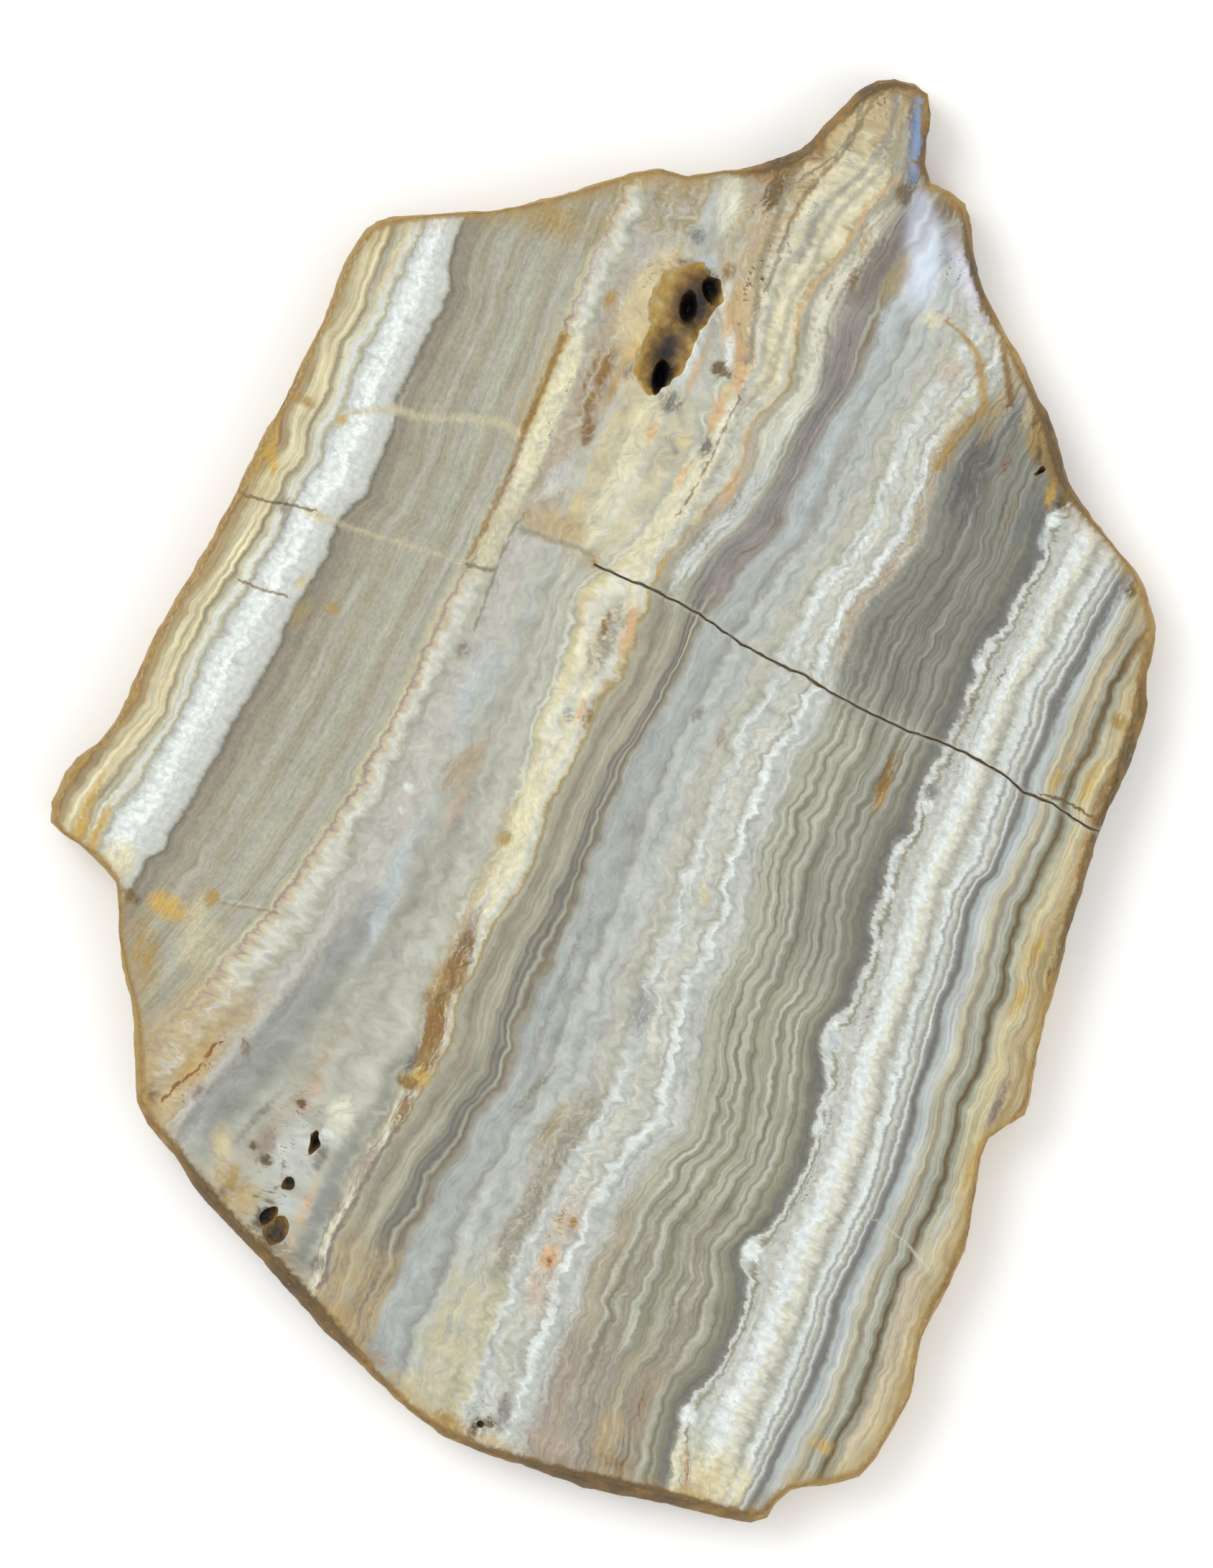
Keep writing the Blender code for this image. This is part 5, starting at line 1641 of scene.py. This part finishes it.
# %% The brown rim of the polish
RIM_COVER = 0.95


def build_rim():
    """Lays the brown edge of the polish over its colour: broken in width and mixed in tone."""
    graph, entry, leave = new_group("brown_rim", [("Color", COLOUR)],
                                    [("Color", COLOUR), ("Near", FLOAT)])
    rim_in = graph.attribute("rim")
    across_in, along_in = graph.attribute("across"), graph.attribute("along")
    dark_in = graph.attribute("dark_rind")
    broad = graph.wobble(across_in, along_in, 2.6, 2.6, 3, seed=9)
    fine = graph.wobble(across_in, along_in, 0.7, 0.7, 3, seed=14)
    near = graph.total(rim_in, graph.times(broad, 0.9))
    soaked = graph.step(near, 0.2, 2.8, 0.36, 0.0)
    colour = graph.mix(soaked, entry["Color"], paint("ochre"))
    reach = graph.total(rim_in, graph.times(broad, 0.3), graph.times(fine, 0.25),
                        graph.times(dark_in, -0.45))
    tone = graph.total(graph.times(dark_in, DARK_SHARE), graph.times(broad, 0.35),
                       graph.times(fine, 0.35))
    brown = graph.mix(graph.step(tone, -0.4, 0.3), paint("ochre"), paint("ochre_brown"))
    brown = graph.mix(graph.step(tone, 0.2, 0.8), brown, paint("umber"))
    brown = graph.mix(graph.step(tone, 0.9, 1.5), brown, paint("bark"))
    edge = graph.step(reach, 0.1, 0.85, RIM_COVER, 0.0)
    graph.feed(leave["Color"], graph.mix(edge, colour, brown))
    graph.feed(leave["Near"], near)


build_rim()
tell_nodes("brown_rim")


# %% [markdown]
# Four finishes
#
# The four differ less in colour than in how they take the light. The polish is nearly a mirror,
# the sawn face has fine arcs from a blade whose centre lies beside the slice, and the rind and
# the hollows are matt. Each material only picks its colour group and its roughness.

# %% The polish
POLISH_ROUGHNESS = 0.06
RIM_ROUGHNESS = 0.4


def polished_stone():
    material, graph, shader = new_material("polished_stone")
    stone_out = use_group(graph, "stone_colour", {})
    rim_out = use_group(graph, "brown_rim", {"Color": stone_out["Color"]})
    off = graph.math("ABSOLUTE", graph.attribute("fracture"))
    inside = graph.step(graph.attribute("across"), FRACTURE_START - 1, FRACTURE_START + 1)
    bruise = graph.times(graph.step(off, 0.3, 0.8, 0.2, 0.0), inside)
    colour = graph.mix(bruise, rim_out["Color"], paint("pale_stone"))
    graph.feed(shader["Base Color"], colour)
    graph.feed(shader["Roughness"], graph.step(rim_out["Near"], 0.0, 0.8, RIM_ROUGHNESS,
                                               POLISH_ROUGHNESS))
    return material


# %% The sawn face
SAWN_ROUGHNESS = 0.62
SAW_CENTRE = (0.22, -0.35, 0.0)
SAW_MARKS_PER_METRE = 900.0
SAW_MARK_HEIGHT = 0.00012


def sawn_stone():
    material, graph, shader = new_material("sawn_stone")
    stone_out = use_group(graph, "stone_colour", {})
    dust = graph.wobble(graph.attribute("across"), graph.attribute("along"), 9, 9, 4, seed=5)
    colour = graph.mix(graph.step(dust, -1.2, 1.2, 0.15, 0.45), stone_out["Color"],
                       paint("pale_stone"))
    graph.feed(shader["Base Color"], colour)
    shader["Roughness"].default_value = SAWN_ROUGHNESS
    spot = graph.add("ShaderNodeTexCoord", {}).outputs["Object"]
    blade = graph.add("ShaderNodeVectorMath", {0: spot, 1: SAW_CENTRE},
                      operation="DISTANCE").outputs["Value"]
    arcs = graph.add("ShaderNodeTexNoise",
                     {"W": graph.times(blade, SAW_MARKS_PER_METRE), "Scale": 1.0,
                      "Detail": 2.0},
                     noise_dimensions="1D").outputs[0]
    graph.feed(shader["Normal"], bump(graph, arcs, SAW_MARK_HEIGHT))
    return material


# %% The rind
RIND_ROUGHNESS = 0.7
GRIT_HEIGHT = 0.00012


def natural_rind():
    material, graph, shader = new_material("natural_rind")
    rind_out = use_group(graph, "rind_colour", {})
    graph.feed(shader["Base Color"], rind_out["Color"])
    shader["Roughness"].default_value = RIND_ROUGHNESS
    graph.feed(shader["Normal"], bump(graph, rind_out["Height"], GRIT_HEIGHT))
    return material


# %% [markdown]
# The hollows
#
# A hollow is painted darker towards its core, as painted shade for the little light that gets out
# again. Its depth alone would darken it evenly, so ovals say where the cores are, and a ramp turns
# their sum into a colour: the straw, gold and ochre of the crystals, then painted shade down to
# nearly black.

# %% How dark the hollows are
HOLLOW_COLOURS_AND_SHADE = [(0.0, "straw"), (0.10, "gold"), (0.26, "ochre"), (0.40, "ochre_brown"),
                (0.54, "umber"), (0.70, "bark"), (0.88, "soot")]
PIT_STAIN_AND_SHADE = [
    # ovals as in the stains, with their darkness: partly the cores' own dark colour, partly
    # painted shade
    (-61.2, -16.0, 4.6, 2.7, 0, 0.85), (-61.3, -16.3, 2.2, 1.5, 0, 1.1),
    (-64.0, -15.3, 1.8, 1.8, 0, 1.0), (-54.2, -16.8, 4.0, 2.2, 0, 0.75),
    (-51.4, -16.0, 2.4, 1.6, 0, 1.1), (54, -14.6, 2.4, 1.2, 0, 0.9),
    (60.4, -15.6, 1.4, 1.2, 0, 0.9), (65, -17, 2.6, 1.6, 0, 1.0), (67, -14.4, 3.2, 2.2, 0, 0.75),
    (77.6, 19, 2, 1.6, 0, 0.6), (-60.3, 32.4, 1.4, 1.2, 0, 0.8),
]
keep("pit_stain_and_shade", np.max([oval(patch) * patch[5] for patch in PIT_STAIN_AND_SHADE], axis=0))
print(len(PIT_STAIN_AND_SHADE), "dark places in the hollows")


# %% The hollows and the groove
HOLLOW_ROUGHNESS = 0.6


def drusy_hollow():
    material, graph, shader = new_material("drusy_hollow")
    across_in, along_in = graph.attribute("across"), graph.attribute("along")
    depth_in = graph.attribute("depth")
    patches = graph.wobble(across_in, along_in, 1.3, 1.3, 4, seed=2)
    # the tone grows with depth and inside the pit ovals: painted shade in the hollows, over their
    # own straw-to-umber colour
    tone = graph.total(graph.times(depth_in, 0.05), graph.attribute("pit_stain_and_shade"),
                       graph.times(patches, 0.14))
    ramp = graph.add("ShaderNodeValToRGB", {"Fac": tone})
    fill_ramp(ramp, [(share, paint(name)) for share, name in HOLLOW_COLOURS_AND_SHADE])
    off = graph.math("ABSOLUTE", graph.attribute("fracture"))
    shallow = graph.step(depth_in, 0.45, 0.6, 1.0, 0.0)
    groove = graph.times(graph.step(off, 0.7, 1.1, 1.0, 0.0), shallow)
    # the groove's colour turns from taupe to umber deeper down, broken by patches
    groove_depth_tone = graph.total(depth_in, graph.times(patches, 0.12))
    groove_colour = graph.mix(graph.step(groove_depth_tone, 0.05, 0.45), paint("taupe"), paint("umber"))
    graph.feed(shader["Base Color"], graph.mix(groove, ramp.outputs["Color"], groove_colour))
    shader["Roughness"].default_value = HOLLOW_ROUGHNESS
    return material


# %% Four materials, in the order of the faces' numbers
MATERIALS = (polished_stone(), sawn_stone(), natural_rind(), drusy_hollow())
for material in MATERIALS:
    mesh_data.materials.append(material)
    print(material.name, "has", len(material.node_tree.nodes), "nodes of its own")


# %% [markdown]
# The finished slice
#
# The faces already carry their material's number. The object stays at the origin, unturned and
# unscaled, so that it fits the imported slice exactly.

# %% The object
SHARP_ANGLE = math.radians(38)
petrified_wood_slice = bpy.data.objects.new("petrified_wood_slice", mesh_data)
bpy.context.collection.objects.link(petrified_wood_slice)
mesh_data.shade_smooth()
mesh_data.set_sharp_from_angle(angle=SHARP_ANGLE)
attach(petrified_wood_slice, "root")
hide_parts("slab")
print(petrified_wood_slice.name, "has", len(mesh_data.polygons), "faces")


# %% [markdown]
# Floor, light and camera
#
# The camera looks straight down at the polish, from far enough away that the rim hardly leans.
# The light is broad and soft. The sky is darker overhead than round about, which keeps the polish
# from mirroring a white ceiling.

# %% Floor and world
FLOOR_SIZE = 6.0
FLOOR_COLOUR = (0.93, 0.93, 0.92, 1.0)
FLOOR_ROUGHNESS = 0.9
SKY_LOW, SKY_HIGH = 1.12, 0.62
SKY_FROM, SKY_TO = 0.5, 1.0


def build_floor():
    data = bpy.data.meshes.new("floor")
    half = FLOOR_SIZE / 2
    corners = [(-half, -half, 0), (half, -half, 0), (half, half, 0), (-half, half, 0)]
    data.from_pydata(corners, [], [(0, 1, 2, 3)])
    floor = bpy.data.objects.new("floor", data)
    bpy.context.collection.objects.link(floor)
    material, _, shader = new_material("pale_floor")
    shader["Base Color"].default_value = FLOOR_COLOUR
    shader["Roughness"].default_value = FLOOR_ROUGHNESS
    data.materials.append(material)
    return floor


def build_world():
    world = bpy.data.worlds.new("soft_room")
    world.use_nodes = True
    bpy.context.scene.world = world
    graph = Graph(world.node_tree)
    direction = graph.add("ShaderNodeTexCoord", {}).outputs["Generated"]
    height = graph.add("ShaderNodeSeparateXYZ", {0: direction}).outputs["Z"]
    strength = graph.step(height, SKY_FROM, SKY_TO, SKY_LOW, SKY_HIGH)
    background = world.node_tree.nodes["Background"]
    background.inputs["Color"].default_value = (1.0, 1.0, 1.0, 1.0)
    graph.feed(background.inputs["Strength"], strength)


build_floor()
build_world()
print("a floor of", FLOOR_SIZE, "m under a sky of strength", SKY_HIGH, "to", SKY_LOW)


# %% Soft lights
SOFT_LIGHTS = {
    # place, size, power and colour
    "window": ((-0.75, 0.55, 1.05), 0.9, 8.5, (0.98, 0.99, 1.0)),
    "bounce": ((0.9, -0.5, 0.8), 1.1, 3.8, (1.0, 0.99, 0.97)),
}


def aim(thing, target):
    thing.rotation_euler = (target - thing.location).to_track_quat("-Z", "Y").to_euler()


def soft_light(name, place, size, power, colour):
    """A square area lamp, aimed at the middle of the polish."""
    lamp = bpy.data.lights.new(name, "AREA")
    lamp.size = size
    lamp.energy = power
    lamp.color = colour
    light = bpy.data.objects.new(name, lamp)
    light.location = place
    light.visible_camera = False
    bpy.context.collection.objects.link(light)
    aim(light, Vector((0, 0, THICKNESS)))


for name, settings in SOFT_LIGHTS.items():
    soft_light(name, *settings)
print(len(SOFT_LIGHTS), "soft lights")


# %% [markdown]
# Glints
#
# Small lamps just above the tip are there for their mirror images alone. Each one's place is
# worked out backwards, from the place in the polish where the camera should see its glint.

# %% Glints on the polish
CAMERA_HEIGHT = 1.0
VIEW_MIDDLE = (0.31 * MM, 2.06 * MM)
GLARE_HEIGHT = 0.10
GLARES = {
    # the middle of the glare in photograph pixels, its width and length in mm, its turn from
    # upright, its radiance and its colour
    "blue_glint": ((1277, 190), 1.3, 12.5, -5, 13.0, (0.04, 0.42, 1.0)),
    "pale_glare": ((1286, 345), 4.2, 14.5, 2, 10.0, (0.62, 0.72, 1.0)),
    "pale_foot": ((1276, 402), 4.2, 6.0, 0, 5.0, (0.70, 0.78, 1.0)),
    "side_glare": ((1350, 396), 2.3, 13.0, 23, 9.0, (0.60, 0.70, 1.0)),
}


def glare_light(name, pixel, width, length, turn, radiance, colour):
    """A small lamp that the camera sees only as its mirror image in the polish."""
    growth = 1 + GLARE_HEIGHT / CAMERA_HEIGHT
    spot = [(pixel[0] - MIDDLE_PIXEL[0]) * PIXEL * MM, (MIDDLE_PIXEL[1] - pixel[1]) * PIXEL * MM]
    place = [s * growth - m * (growth - 1) for s, m in zip(spot, VIEW_MIDDLE)]
    lamp = bpy.data.lights.new(name, "AREA")
    lamp.shape = "ELLIPSE"
    lamp.size = width * MM * growth
    lamp.size_y = length * MM * growth
    lamp.energy = radiance * math.pi * lamp.size * lamp.size_y * math.pi / 4
    lamp.color = colour
    light = bpy.data.objects.new(name, lamp)
    light.location = (*place, THICKNESS + GLARE_HEIGHT)
    light.rotation_euler = (0, 0, math.radians(turn))
    light.visible_camera = False
    light.visible_diffuse = False
    bpy.context.collection.objects.link(light)


for name, settings in GLARES.items():
    glare_light(name, *settings)
print(len(GLARES), "glints")


# %% The camera
VIEW_HEIGHT = 196.58 * MM
FILM_HEIGHT = 36.0
camera_data = bpy.data.cameras.new("from_above")
camera_data.lens = FILM_HEIGHT * CAMERA_HEIGHT / VIEW_HEIGHT
camera_data.sensor_width = FILM_HEIGHT
camera = bpy.data.objects.new("from_above", camera_data)
camera.location = (*VIEW_MIDDLE, THICKNESS + CAMERA_HEIGHT)
bpy.context.collection.objects.link(camera)
bpy.context.scene.camera = camera
bpy.context.scene.view_settings.view_transform = "Standard"
print("the camera stands", CAMERA_HEIGHT, "m above the polish")
